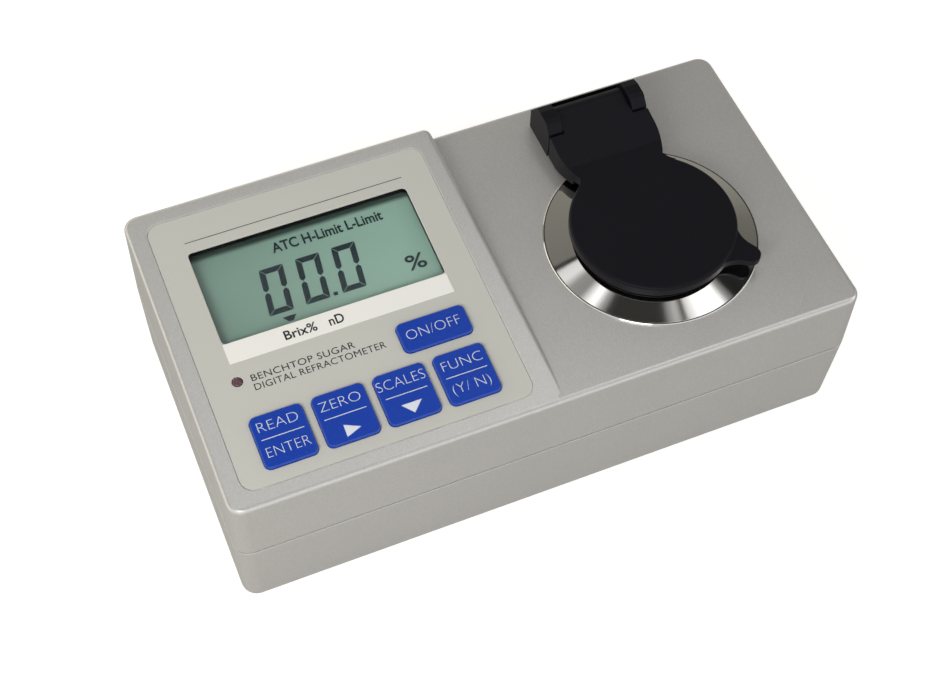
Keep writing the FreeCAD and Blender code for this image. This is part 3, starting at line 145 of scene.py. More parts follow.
def blend_by(axis, low, high, first, second):
    """Goes from one colour to another as one part of the direction grows from low to high."""
    share = sky.nodes.new("ShaderNodeMapRange")
    share.interpolation_type = "SMOOTHSTEP"
    share.inputs["From Min"].default_value = low
    share.inputs["From Max"].default_value = high
    sky.links.new(split.outputs[axis], share.inputs["Value"])
    mix = sky.nodes.new("ShaderNodeMix")
    mix.data_type = "RGBA"
    sky.links.new(share.outputs["Result"], mix.inputs[0])
    sky.links.new(first, mix.inputs[6])
    sky.links.new(second, mix.inputs[7])
    return mix.outputs[2]


rear_tent = blend_by("X", 0.20, 0.30, tent_side(LEFT_TENT), tent_side(RIGHT_TENT))
whole_tent = blend_by("Y", -0.30, 0.0, tent_side(FRONT_TENT), rear_tent)
tent = sky.nodes.new("ShaderNodeBackground")
tent.inputs["Strength"].default_value = BRIGHTEST
sky.links.new(whole_tent, tent.inputs["Color"])
seen = sky.nodes.new("ShaderNodeBackground")
seen.inputs["Color"].default_value = (0.95, 0.95, 0.95, 1.0)
path = sky.nodes.new("ShaderNodeLightPath")
choose = sky.nodes.new("ShaderNodeMixShader")
sky.links.new(path.outputs["Is Camera Ray"], choose.inputs[0])
sky.links.new(tent.outputs[0], choose.inputs[1])
sky.links.new(seen.outputs[0], choose.inputs[2])
sky_out = sky.nodes.new("ShaderNodeOutputWorld")
sky.links.new(choose.outputs[0], sky_out.inputs["Surface"])


def soft_lamp(name, place, aim, size, power):
    """Square lamp at one point that faces another, itself out of sight."""
    data = bpy.data.lights.new(name, "AREA")
    data.shape = "SQUARE"
    data.size = size
    data.energy = power
    lamp = bpy.data.objects.new(name, data)
    lamp.location = place
    lamp.rotation_euler = (Vector(aim) - Vector(place)).to_track_quat("-Z", "Y").to_euler()
    lamp.visible_camera = False
    bpy.context.scene.collection.objects.link(lamp)
    return lamp


soft_lamp("front_lamp", (-0.45, -0.75, 0.95), (0, 0, 0.03), 0.55, 2.8)
soft_lamp("right_lamp", (0.95, -0.35, 0.75), (0, 0, 0.03), 0.4, 1.1)
near_lamp = soft_lamp("near_lamp", (-0.42, -0.32, 0.42), (-0.02, -0.02, 0.03), 0.22, 1.9)
near_lamp.data.color = (1.0, 0.965, 0.90)
near_lamp.visible_glossy = False

CAMERA_PLACE = Vector((-0.116292, -0.248064, 0.430644))
CAMERA_AZIMUTH = math.radians(-23.915)
CAMERA_ELEVATION = math.radians(56.995)
CAMERA_ROLL = math.radians(1.876)
back = Vector((math.sin(CAMERA_AZIMUTH) * math.cos(CAMERA_ELEVATION),
               -math.cos(CAMERA_AZIMUTH) * math.cos(CAMERA_ELEVATION), math.sin(CAMERA_ELEVATION)))
level = Vector((math.cos(CAMERA_AZIMUTH), math.sin(CAMERA_AZIMUTH), 0.0))
upright = back.cross(level)
across = math.cos(CAMERA_ROLL) * level + math.sin(CAMERA_ROLL) * upright
along = math.cos(CAMERA_ROLL) * upright - math.sin(CAMERA_ROLL) * level
camera_data = bpy.data.cameras.new("camera")
camera_data.lens = 65.05
camera_data.sensor_width = 36.0
camera_data.clip_start = 0.01
camera = bpy.data.objects.new("camera", camera_data)
camera.matrix_world = Matrix.Translation(CAMERA_PLACE) @ Matrix((across, along, back)).transposed().to_4x4()
bpy.context.scene.collection.objects.link(camera)
bpy.context.scene.camera = camera
bpy.context.scene.view_settings.view_transform = "Standard"


# ---------------------------------------------------------------- housing halves and battery door
# Upper and lower halves are injection moulded, sprayed with silver metallic paint and
# screwed together from below. The battery door in the base is moulded and sprayed alike.
def group_socket(group, name, kind, way_in, value=None):
    """One named input or output of a node group."""
    socket = group.interface.new_socket(name=name, in_out="INPUT" if way_in else "OUTPUT", socket_type=kind)
    if value is not None:
        socket.default_value = value


def node(tree, kind, **settings):
    """One node, with its settings and the plain values of its sockets."""
    made = tree.nodes.new(kind)
    for key, value in settings.items():
        if hasattr(made, key):
            setattr(made, key, value)
        else:
            made.inputs[key.replace("_", " ")].default_value = value
    return made


def maths(tree, operation, first, second):
    """One Math node: each side is a plain number or the output that feeds it."""
    made = node(tree, "ShaderNodeMath", operation=operation)
    for index, side in enumerate((first, second)):
        if isinstance(side, (int, float)):
            made.inputs[index].default_value = side
        else:
            tree.links.new(side, made.inputs[index])
    return made.outputs[0]


def surface_group():
    """Colour times (1 + fine grain + soft mottle), mixed towards the given highlight colour where the surface
    turns sharply, a painted highlight along edges; roughness between two values by the mottle; grain as a
    height."""
    group = bpy.data.node_groups.new("moulded_surface", "ShaderNodeTree")
    group_socket(group, "Color", "NodeSocketColor", True, (0.5, 0.5, 0.5, 1.0))
    group_socket(group, "Edge Highlight Color", "NodeSocketColor", True, (0.5, 0.5, 0.5, 1.0))
    group_socket(group, "Edge Amount", "NodeSocketFloat", True, 0.5)
    group_socket(group, "Edge Radius", "NodeSocketFloat", True, 0.0003)
    group_socket(group, "Grain Scale", "NodeSocketFloat", True, 2500.0)
    group_socket(group, "Grain", "NodeSocketFloat", True, 0.1)
    group_socket(group, "Mottle Scale", "NodeSocketFloat", True, 45.0)
    group_socket(group, "Mottle", "NodeSocketFloat", True, 0.05)
    group_socket(group, "Rough Low", "NodeSocketFloat", True, 0.3)
    group_socket(group, "Rough High", "NodeSocketFloat", True, 0.45)
    group_socket(group, "Color", "NodeSocketColor", False)
    group_socket(group, "Roughness", "NodeSocketFloat", False)
    group_socket(group, "Height", "NodeSocketFloat", False)
    group_socket(group, "Normal", "NodeSocketVector", False)
    enter = group.nodes.new("NodeGroupInput")
    leave = group.nodes.new("NodeGroupOutput")
    link = group.links.new
    place = group.nodes.new("ShaderNodeTexCoord")
    grain = node(group, "ShaderNodeTexNoise", Detail=2.0, Roughness=0.6)
    link(place.outputs["Object"], grain.inputs["Vector"])
    link(enter.outputs["Grain Scale"], grain.inputs["Scale"])
    mottle = node(group, "ShaderNodeTexNoise", Detail=4.0, Roughness=0.55)
    link(place.outputs["Object"], mottle.inputs["Vector"])
    link(enter.outputs["Mottle Scale"], mottle.inputs["Scale"])
    grain_off = maths(group, "SUBTRACT", grain.outputs["Fac"], 0.5)
    mottle_off = maths(group, "SUBTRACT", mottle.outputs["Fac"], 0.5)
    shade = maths(group, "ADD", maths(group, "MULTIPLY", grain_off, enter.outputs["Grain"]),
                  maths(group, "MULTIPLY", mottle_off, enter.outputs["Mottle"]))
    factor = maths(group, "ADD", shade, 1.0)
    scaled = group.nodes.new("ShaderNodeVectorMath")
    scaled.operation = "SCALE"
    link(enter.outputs["Color"], scaled.inputs[0])
    link(factor, scaled.inputs["Scale"])
    soft = node(group, "ShaderNodeBevel", samples=4)
    link(enter.outputs["Edge Radius"], soft.inputs["Radius"])
    true = group.nodes.new("ShaderNodeNewGeometry")
    turned = group.nodes.new("ShaderNodeVectorMath")
    turned.operation = "DOT_PRODUCT"
    link(soft.outputs["Normal"], turned.inputs[0])
    link(true.outputs["Normal"], turned.inputs[1])
    bend = maths(group, "SUBTRACT", 1.0, turned.outputs["Value"])
    # Painted highlight: how far the colour turns to the highlight colour where the bevelled normal bends
    # away.
    edge_highlight = maths(group, "MULTIPLY", maths(group, "MINIMUM", maths(group, "MULTIPLY", bend, 8.0), 1.0),
                 enter.outputs["Edge Amount"])
    mixed = node(group, "ShaderNodeMix", data_type="RGBA")
    link(edge_highlight, mixed.inputs[0])
    link(scaled.outputs[0], mixed.inputs[6])
    link(enter.outputs["Edge Highlight Color"], mixed.inputs[7])
    span = maths(group, "SUBTRACT", enter.outputs["Rough High"], enter.outputs["Rough Low"])
    part = maths(group, "MULTIPLY", mottle.outputs["Fac"], span)
    rough = maths(group, "ADD", part, enter.outputs["Rough Low"])
    link(mixed.outputs[2], leave.inputs["Color"])
    link(rough, leave.inputs["Roughness"])
    link(grain.outputs["Fac"], leave.inputs["Height"])
    link(soft.outputs["Normal"], leave.inputs["Normal"])
    return group


surface = surface_group()


def finish(name, color, edge_highlight=None, bump=0.00001, values=(), **sockets):
    """Material whose colour, roughness and fine relief come from the shared surface group, with a painted
    highlight along sharp edges.
    """
    made = bpy.data.materials.new(name)
    made.use_nodes = True
    tree = made.node_tree
    shader = tree.nodes["Principled BSDF"]
    detail = tree.nodes.new("ShaderNodeGroup")
    detail.node_tree = surface
    detail.inputs["Color"].default_value = (*color, 1.0)
    detail.inputs["Edge Highlight Color"].default_value = (*(edge_highlight or color), 1.0)
    for key, value in dict(values).items():
        detail.inputs[key].default_value = value
    relief = node(tree, "ShaderNodeBump", Strength=1.0, Distance=bump)
    tree.links.new(detail.outputs["Height"], relief.inputs["Height"])
    tree.links.new(detail.outputs["Normal"], relief.inputs["Normal"])
    tree.links.new(detail.outputs["Color"], shader.inputs["Base Color"])
    tree.links.new(detail.outputs["Roughness"], shader.inputs["Roughness"])
    tree.links.new(relief.outputs["Normal"], shader.inputs["Normal"])
    for key, value in sockets.items():
        shader.inputs[key.replace("_", " ")].default_value = value
    return made


def dress(material, *names):
    """Gives CAD nodes one material in all their slots."""
    for name in names:
        slots = cad[name].data.materials
        slots.clear()
        slots.append(material)


def flake_group():
    """Metal flakes in paint: each small cell has its own random brightness, and only the top few flash."""
    group = bpy.data.node_groups.new("metal_flake", "ShaderNodeTree")
    group_socket(group, "Color", "NodeSocketColor", True, (0.5, 0.5, 0.5, 1.0))
    group_socket(group, "Flake Scale", "NodeSocketFloat", True, 3500.0)
    group_socket(group, "Flash", "NodeSocketFloat", True, 0.3)
    group_socket(group, "Color", "NodeSocketColor", False)
    group_socket(group, "Flash", "NodeSocketFloat", False)
    enter = group.nodes.new("NodeGroupInput")
    leave = group.nodes.new("NodeGroupOutput")
    place = group.nodes.new("ShaderNodeTexCoord")
    cells = node(group, "ShaderNodeTexVoronoi", feature="F1")
    group.links.new(place.outputs["Object"], cells.inputs["Vector"])
    group.links.new(enter.outputs["Flake Scale"], cells.inputs["Scale"])
    tone = group.nodes.new("ShaderNodeSeparateColor")
    group.links.new(cells.outputs["Color"], tone.inputs[0])
    flash = node(group, "ShaderNodeMapRange", From_Min=0.55, From_Max=1.0, To_Min=0.0, To_Max=1.0)
    group.links.new(tone.outputs[0], flash.inputs["Value"])
    grey = maths(group, "MULTIPLY", maths(group, "SUBTRACT", tone.outputs[1], 0.5), 0.08)
    lift = maths(group, "MULTIPLY", flash.outputs["Result"], enter.outputs["Flash"])
    factor = maths(group, "ADD", maths(group, "ADD", grey, lift), 0.95)
    scaled = group.nodes.new("ShaderNodeVectorMath")
    scaled.operation = "SCALE"
    group.links.new(enter.outputs["Color"], scaled.inputs[0])
    group.links.new(factor, scaled.inputs["Scale"])
    group.links.new(scaled.outputs[0], leave.inputs["Color"])
    group.links.new(flash.outputs["Result"], leave.inputs["Flash"])
    return group


flake = flake_group()
SILVER = (0.615, 0.605, 0.59)
# The light colour given for edges is a painted highlight along the housing's rounded edges.
SILVER_HIGHLIGHT = (0.95, 0.94, 0.91)
silver_paint = finish("silver_paint", SILVER, edge_highlight=SILVER_HIGHLIGHT, bump=0.000005,
                      values={"Edge Amount": 0.7, "Edge Radius": 0.0005, "Grain Scale": 3400.0, "Grain": 0.05,
                              "Mottle Scale": 30.0, "Mottle": 0.05, "Rough Low": 0.26, "Rough High": 0.37},
                      Metallic=0.66, Coat_Weight=0.25, Coat_Roughness=0.2)
paint_tree = silver_paint.node_tree
paint_shader = paint_tree.nodes["Principled BSDF"]
flakes = paint_tree.nodes.new("ShaderNodeGroup")
flakes.node_tree = flake
flakes.inputs["Flake Scale"].default_value = 4200.0
flakes.inputs["Flash"].default_value = 0.09
paint_colour = paint_shader.inputs["Base Color"].links[0].from_socket
paint_tree.links.new(paint_colour, flakes.inputs["Color"])
paint_tree.links.new(flakes.outputs["Color"], paint_shader.inputs["Base Color"])
dress(silver_paint, "upper_housing", "lower_housing", "battery_door")

# The walls of the display's opening are painted near-black as painted shade in the recess, so that only the
# glass shows through the pane.
SHADE_REACH = 2.0 * MM
PANE_LAP = 1.6 * MM
window_low, window_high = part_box("legend_strip")
pane_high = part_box("display_window")[1]
OPENING_BACK = pane_high.y - PANE_LAP
opening_middle = ((window_low.x + window_high.x) / 2, (window_high.y + OPENING_BACK) / 2)
opening_half = ((window_high.x - window_low.x) / 2 + SHADE_REACH,
                (OPENING_BACK - window_high.y) / 2 + SHADE_REACH)
shade_place = paint_tree.nodes.new("ShaderNodeTexCoord")
shade_split = paint_tree.nodes.new("ShaderNodeSeparateXYZ")
paint_tree.links.new(shade_place.outputs["Object"], shade_split.inputs[0])
shaded_opening = 1.0
for axis, middle, half in zip("XY", opening_middle, opening_half):
    off = maths(paint_tree, "ABSOLUTE", maths(paint_tree, "SUBTRACT", shade_split.outputs[axis], middle), 0.0)
    within = maths(paint_tree, "LESS_THAN", off, half)
    shaded_opening = maths(paint_tree, "MULTIPLY", within, shaded_opening)
# Near-black painted shade over the opening's walls.
painted_shade_mix = node(paint_tree, "ShaderNodeMix", data_type="RGBA")
painted_shade_mix.inputs[7].default_value = (0.006, 0.006, 0.007, 1.0)
paint_tree.links.new(shaded_opening, painted_shade_mix.inputs[0])
paint_tree.links.new(flakes.outputs["Color"], painted_shade_mix.inputs[6])
paint_tree.links.new(painted_shade_mix.outputs[2], paint_shader.inputs["Base Color"])


# ---------------------------------------------------------------- feet and screws
# Four soft rubber feet are pushed into round recesses of the base. Zinc plated screws hold
# the halves, the boards, the optics block and the hinge together.
foot_rubber = finish("foot_rubber", (0.028, 0.028, 0.029), edge_highlight=(0.06, 0.06, 0.06), bump=0.00004,
                     values={"Grain Scale": 1400.0, "Grain": 0.5, "Mottle": 0.3, "Rough Low": 0.62,
                             "Rough High": 0.85, "Edge Radius": 0.0004}, Specular_IOR_Level=0.3)
dress(foot_rubber, "rubber_feet", "zebra_connectors", "stage_gasket")
zinc_plate = finish("zinc_plate", (0.56, 0.56, 0.58), edge_highlight=(0.75, 0.75, 0.76), bump=0.00002,
                    values={"Grain Scale": 3000.0, "Grain": 0.25, "Mottle Scale": 400.0, "Mottle": 0.35,
                            "Rough Low": 0.22, "Rough High": 0.42, "Edge Radius": 0.00015}, Metallic=1.0)
dress(zinc_plate, "housing_screws", "board_screws", "optics_screws", "hinge_screws", "hinge_pin",
      "temperature_probe")


# ---------------------------------------------------------------- panel overlay and its printing
# A polycarbonate film, screen printed warm grey on its back and laid in the panel's recess.
# It has a fine satin texture. Lettering and a thin rule are printed in black.
film = finish("printed_film", (0.475, 0.474, 0.44), edge_highlight=(0.80, 0.80, 0.76), bump=0.000006,
              values={"Edge Amount": 0.75, "Edge Radius": 0.00018, "Grain Scale": 5200.0, "Grain": 0.06,
                      "Mottle Scale": 22.0, "Mottle": 0.05, "Rough Low": 0.36, "Rough High": 0.48},
              Specular_IOR_Level=0.35)
dress(film, "panel_overlay")

press = next(joint for joint in frame["joints"] if joint["name"] == "read_enter_press")
panel_slope = -press["axis"][1] / press["axis"][2]
overlay_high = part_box("panel_overlay")[1]
PRINT_T = 0.03 * MM


def film_height(y):
    """Height of the film's face: straight slope up from the front."""
    return overlay_high.z + panel_slope * (y - overlay_high.y)


def show(name, mesh, material, body):
    """Puts a finished mesh in the scene, with its material, on its body."""
    piece = bpy.data.objects.new(name, mesh)
    bpy.context.scene.collection.objects.link(piece)
    mesh.materials.clear()
    mesh.materials.append(material)
    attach(piece, body)
    return piece


def merged(mesh):
    """Joins points that lie on each other and turns all faces outwards."""
    work = bmesh.new()
    work.from_mesh(mesh)
    bmesh.ops.remove_doubles(work, verts=work.verts, dist=1e-7)
    bmesh.ops.recalc_face_normals(work, faces=work.faces)
    work.to_mesh(mesh)
    work.free()
    return mesh


def laid_on_film(mesh, lift, thick):
    """Lays a flat mesh on the sloping film: x and y stay, z runs from lift up to lift plus thick."""
    flat = np.zeros(len(mesh.vertices) * 3)
    mesh.vertices.foreach_get("co", flat)
    flat = flat.reshape(-1, 3)
    span = flat[:, 2].max() - flat[:, 2].min()
    share = (flat[:, 2] - flat[:, 2].min()) / max(span, 1e-9)
    flat[:, 2] = film_height(flat[:, 1]) + lift + thick * share
    mesh.vertices.foreach_set("co", flat.ravel())
    mesh.update()
    return mesh


def lettering(words, left, bottom, width, height, weight=0.0, spacing=1.0):
    """Words set as a thin solid, stretched to fill the rectangle given, in the ground plane."""
    letters = bpy.data.curves.new("letters", "FONT")
    letters.body = words
    letters.extrude = 0.05
    letters.offset = weight
    letters.space_character = spacing
    letters.resolution_u = 6
    holder = bpy.data.objects.new("letters", letters)
    bpy.context.scene.collection.objects.link(holder)
    bpy.context.view_layer.update()
    mesh = bpy.data.meshes.new_from_object(holder.evaluated_get(bpy.context.evaluated_depsgraph_get()))
    bpy.data.objects.remove(holder)
    places = np.zeros(len(mesh.vertices) * 3)
    mesh.vertices.foreach_get("co", places)
    places = places.reshape(-1, 3)
    low = places.min(axis=0)
    size = places.max(axis=0) - low
    places[:, 0] = left + (places[:, 0] - low[0]) * width / size[0]
    places[:, 1] = bottom + (places[:, 1] - low[1]) * height / size[1]
    mesh.vertices.foreach_set("co", places.ravel())
    mesh.update()
    return merged(mesh)


def plates(outlines):
    """Thin solids in the ground plane, one for each closed convex outline of (x, y) points."""
    points = []
    faces = []
    for outline in outlines:
        start = len(points)
        count = len(outline)
        points += [(x, y, 0.0) for x, y in outline] + [(x, y, 1.0) for x, y in outline]
        faces.append([start + i for i in reversed(range(count))])
        faces.append([start + count + i for i in range(count)])
        faces += [[start + i, start + (i + 1) % count, start + count + (i + 1) % count, start + count + i]
                  for i in range(count)]
    mesh = bpy.data.meshes.new("plates")
    mesh.from_pydata(points, [], faces)
    return merged(mesh)


def bar(x0, y0, x1, y1):
    """Outline of an upright rectangle."""
    return [(x0, y0), (x1, y0), (x1, y1), (x0, y1)]


print_black = finish("print_black", (0.022, 0.021, 0.026), bump=0.000004,
                     values={"Grain Scale": 6000.0, "Grain": 0.5, "Mottle": 0.3, "Rough Low": 0.38,
                             "Rough High": 0.5, "Edge Amount": 0.0}, Specular_IOR_Level=0.3)
TITLE_LEFT = window_low.x + 3.9 * MM
TITLE_H = 2.0 * MM
TITLE = (("BENCHTOP SUGAR", 6.85, 28.8), ("DIGITAL REFRACTOMETER", 9.75, 36.6))
for index, (words, drop, width) in enumerate(TITLE):
    title = lettering(words, TITLE_LEFT, window_low.y - drop * MM, width * MM, TITLE_H, weight=-0.002,
                      spacing=1.06)
    show(f"title_line_{index + 1}", laid_on_film(title, 0.0, PRINT_T), print_black, "base")
RULE_T = 0.2 * MM
rule_y = pane_high.y + 1.55 * MM
rule = plates([bar(window_low.x + 0.4 * MM, rule_y, window_high.x + 0.2 * MM, rule_y + RULE_T)])
show("overlay_rule", laid_on_film(rule, 0.0, PRINT_T), print_black, "base")


# ---------------------------------------------------------------- legend strip
# A white label along the front of the window, with the scale names that the marker points at.
label_white = finish("label_white", (0.74, 0.735, 0.70), edge_highlight=(0.86, 0.86, 0.83), bump=0.000004,
                     values={"Grain Scale": 4000.0, "Grain": 0.04, "Mottle": 0.03, "Rough Low": 0.4,
                             "Rough High": 0.5, "Edge Radius": 0.0001}, Specular_IOR_Level=0.35)
dress(label_white, "legend_strip")
STRIP_RISE = 0.1 * MM
SCALE_NAME_FRONT = window_low.y + 1.7 * MM
SCALE_NAME_H = 2.9 * MM
SCALE_NAMES = (("scale_name_brix", "Brix%", 16.2, 9.1), ("scale_name_index", "nD", 28.8, 4.2))
for name, words, start, width in SCALE_NAMES:
    word = lettering(words, window_low.x + start * MM, SCALE_NAME_FRONT, width * MM, SCALE_NAME_H,
                     weight=0.016)
    show(name, laid_on_film(word, STRIP_RISE, PRINT_T), print_black, "base")


# ---------------------------------------------------------------- display
# Reflective liquid crystal glass, grey green, held in a black frame below a clear acrylic pane.
# The dark segments are drawn as thin solids just above the glass.
lcd_face = finish("display_glass", (0.165, 0.26, 0.225), edge_highlight=(0.165, 0.26, 0.225), bump=0.000003,
                  values={"Grain Scale": 5000.0, "Grain": 0.03, "Mottle Scale": 25.0, "Mottle": 0.10,
                          "Rough Low": 0.3, "Rough High": 0.4, "Edge Amount": 0.0}, Specular_IOR_Level=0.4)
dress(lcd_face, "lcd_glass")

# The glass carries a painted shadow of the frame along its rear side, and painted light that makes it lighter
# towards the right.
lcd_tree = lcd_face.node_tree
lcd_shader = lcd_tree.nodes["Principled BSDF"]
lcd_place = lcd_tree.nodes.new("ShaderNodeTexCoord")
lcd_split = lcd_tree.nodes.new("ShaderNodeSeparateXYZ")
lcd_tree.links.new(lcd_place.outputs["Object"], lcd_split.inputs[0])
painted_light_ramp = node(lcd_tree, "ShaderNodeMapRange", interpolation_type="SMOOTHSTEP",
                    From_Min=window_low.x, From_Max=window_high.x, To_Min=0.74, To_Max=1.12)
lcd_tree.links.new(lcd_split.outputs["X"], painted_light_ramp.inputs["Value"])
SHADE_FADE = 2.4 * MM
SHADE_FULL = 0.6 * MM
frame_shadow_ramp = node(lcd_tree, "ShaderNodeMapRange", interpolation_type="SMOOTHSTEP",
                   From_Min=OPENING_BACK - SHADE_FADE, From_Max=OPENING_BACK - SHADE_FULL, To_Min=1.0,
                   To_Max=0.16)
lcd_tree.links.new(lcd_split.outputs["Y"], frame_shadow_ramp.inputs["Value"])
lcd_painted_light = lcd_tree.nodes.new("ShaderNodeVectorMath")
lcd_painted_light.operation = "SCALE"
lcd_tree.links.new(lcd_shader.inputs["Base Color"].links[0].from_socket, lcd_painted_light.inputs[0])
lcd_tree.links.new(maths(lcd_tree, "MULTIPLY", painted_light_ramp.outputs["Result"], frame_shadow_ramp.outputs["Result"]),
                   lcd_painted_light.inputs["Scale"])
lcd_tree.links.new(lcd_painted_light.outputs[0], lcd_shader.inputs["Base Color"])
black_moulding = finish("black_moulding", (0.016, 0.016, 0.018), edge_highlight=(0.035, 0.035, 0.037), bump=0.00003,
                        values={"Grain Scale": 1800.0, "Grain": 0.4, "Mottle": 0.2, "Rough Low": 0.42,
                                "Rough High": 0.6, "Edge Radius": 0.0002}, Specular_IOR_Level=0.35)
dress(black_moulding, "lcd_frame", "controller_chip", "key_switches", "optics_block", "sensor_array",
      "battery_snap")


def clear_finish(name, tint, ior, rough):
    """Glass that lets lamp light straight through, with faint wiping marks in its roughness."""
    made = bpy.data.materials.new(name)
    made.use_nodes = True
    tree = made.node_tree
    shader = tree.nodes["Principled BSDF"]
    shader.inputs["Base Color"].default_value = (*tint, 1.0)
    shader.inputs["Transmission Weight"].default_value = 1.0
    shader.inputs["IOR"].default_value = ior
    place = tree.nodes.new("ShaderNodeTexCoord")
    wipe = node(tree, "ShaderNodeTexNoise", Scale=160.0, Detail=3.0)
    tree.links.new(place.outputs["Object"], wipe.inputs["Vector"])
    tree.links.new(maths(tree, "MULTIPLY", wipe.outputs["Fac"], rough), shader.inputs["Roughness"])
    ray = tree.nodes.new("ShaderNodeLightPath")
    through = tree.nodes.new("ShaderNodeBsdfTransparent")
    through.inputs["Color"].default_value = (*tint, 1.0)
    mix = tree.nodes.new("ShaderNodeMixShader")
    tree.links.new(ray.outputs["Is Shadow Ray"], mix.inputs[0])
    tree.links.new(shader.outputs[0], mix.inputs[1])
    tree.links.new(through.outputs[0], mix.inputs[2])
    tree.links.new(mix.outputs[0], tree.nodes["Material Output"].inputs["Surface"])
    return made


clear_pane = clear_finish("clear_pane", (0.97, 0.985, 0.975), 1.2, 0.02)
dress(clear_pane, "display_window")

glass_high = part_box("lcd_glass")[1]
LCD_T = 0.04 * MM
LCD_RISE = 0.01 * MM
GLASS_DROP = film_height(glass_high.y) - glass_high.z
SEGMENT_W = 1.7 * MM
SEGMENT_GAP = 0.11 * MM
DIGIT_W = 6.9 * MM
DIGIT_H = 14.9 * MM
DIGIT_SLANT = 0.12
DIGIT_PITCH = 10.5 * MM
DIGIT_LEFT = 15.0 * MM
DIGIT_BOTTOM = 5.75 * MM


def zero_digit(left, bottom):
    """Six mitred bars round a tall rectangle, leaning to the right: x grows by slant times height."""
    w, h, t, g = DIGIT_W, DIGIT_H, SEGMENT_W, SEGMENT_GAP
    half = h / 2
    waist = t * 0.55
    top = [(g, h), (w - g, h), (w - t - g, h - t), (t + g, h - t)]
    upper_left = [(0, h - g), (0, half + waist), (t / 2, half + g), (t, half + waist), (t, h - t - g)]
    lower_left = [(0, g), (t, t + g), (t, half - waist), (t / 2, half - g), (0, half - waist)]
    bars = [top, [(x, h - y) for x, y in top], upper_left, lower_left]
    bars += [[(w - x, y) for x, y in outline] for outline in (upper_left, lower_left)]
    return [[(left + x + DIGIT_SLANT * y, bottom + y) for x, y in outline] for outline in bars]


segments = []
for index in range(3):
    segments += zero_digit(window_low.x + DIGIT_LEFT + index * DIGIT_PITCH, window_high.y + DIGIT_BOTTOM)
POINT_W = 1.2 * MM
POINT_H = 1.1 * MM
point_x = window_low.x + 33.5 * MM
point_y = window_high.y + 5.8 * MM
segments.append(bar(point_x, point_y, point_x + POINT_W, point_y + POINT_H))
MARKER_W = 4.0 * MM
MARKER_H = 1.7 * MM
MARKER_LEAN = 1.3 * MM
marker_x = window_low.x + 18.0 * MM
marker_y = window_high.y + 4.2 * MM
marker_tip = marker_y - MARKER_H
segments.append([(marker_x, marker_y), (marker_x + MARKER_LEAN, marker_tip),
                 (marker_x + MARKER_W - MARKER_LEAN, marker_tip), (marker_x + MARKER_W, marker_y)])
lcd_ink = finish("display_segments", (0.005, 0.013, 0.018), bump=0.000002,
                 values={"Grain Scale": 4000.0, "Grain": 0.2, "Mottle": 0.2, "Rough Low": 0.35,
                         "Rough High": 0.45, "Edge Amount": 0.0}, Specular_IOR_Level=0.3)
show("display_digits", laid_on_film(plates(segments), -GLASS_DROP + LCD_RISE, LCD_T), lcd_ink, "base")
# Each mark: name, words, left and front in millimetres from the window's left front corner, width,
# height and stroke weight.
DISPLAY_MARKS = (
    ("display_annunciators", "ATC H-Limit L-Limit", 22.6, 24.6, 32.4, 3.4, 0.022),
    ("display_percent", "%", 55.5, 5.8, 5.6, 5.0, 0.012))
for name, words, start, rise, width, height, weight in DISPLAY_MARKS:
    mark = lettering(words, window_low.x + start * MM, window_high.y + rise * MM, width * MM, height * MM,
                     weight=weight)
    show(name, laid_on_film(mark, -GLASS_DROP + LCD_RISE, LCD_T), lcd_ink, "base")


# ---------------------------------------------------------------- keys
# Blue caps moulded in coloured plastic, standing a little proud of the film, with rounded
# edges that carry a painted pale blue highlight. Their legends and dividing lines are printed pale grey.
key_blue = finish("key_blue", (0.001, 0.036, 0.330), edge_highlight=(0.40, 0.54, 0.90), bump=0.000008,
                  values={"Edge Amount": 0.7, "Edge Radius": 0.0003, "Grain Scale": 3000.0, "Grain": 0.10,
                          "Mottle Scale": 90.0, "Mottle": 0.10, "Rough Low": 0.22, "Rough High": 0.34},
                  Specular_IOR_Level=0.25, Coat_Weight=0.05, Coat_Roughness=0.15)
legend_pale = finish("legend_pale", (0.62, 0.66, 0.74), bump=0.000004,
                     values={"Grain Scale": 5000.0, "Grain": 0.1, "Mottle": 0.06, "Rough Low": 0.35,
                             "Rough High": 0.45, "Edge Amount": 0.0}, Specular_IOR_Level=0.4)
plunger_white = finish("plunger_white", (0.70, 0.70, 0.67), bump=0.00001,
                       values={"Grain Scale": 2500.0, "Grain": 0.08, "Rough Low": 0.35, "Rough High": 0.5})
# Each key: legends as (word, x of its middle, y of its foot, width, height), the y of the dividing
# line, and the arrow's corners, all in millimetres from the key's middle.
KEYS = {
    "read_enter": ((("READ", -0.2, 2.6, 11.0, 2.8), ("ENTER", 0.2, -5.0, 11.7, 2.8)), 0.3, None),
    "zero": ((("ZERO", -0.2, 2.45, 11.3, 2.8),), 0.0, [(-1.8, -6.6), (2.6, -4.9), (-1.7, -2.9)]),
    "scales": ((("SCALES", -0.2, 2.5, 13.4, 2.9),), 0.0, [(0.0, -6.2), (3.1, -3.0), (-2.7, -3.0)]),
    "function": ((("FUNC", 0.05, 2.3, 11.3, 2.8), ("(Y/ N)", -0.1, -6.0, 10.6, 3.9)), 0.05, None),
    "on_off": ((("ON/OFF", -0.2, -1.3, 15.3, 2.9),), None, None),
}
DIVIDER_W = 11.6 * MM
DIVIDER_T = 0.25 * MM
KEY_EDGE = 1.11 * MM
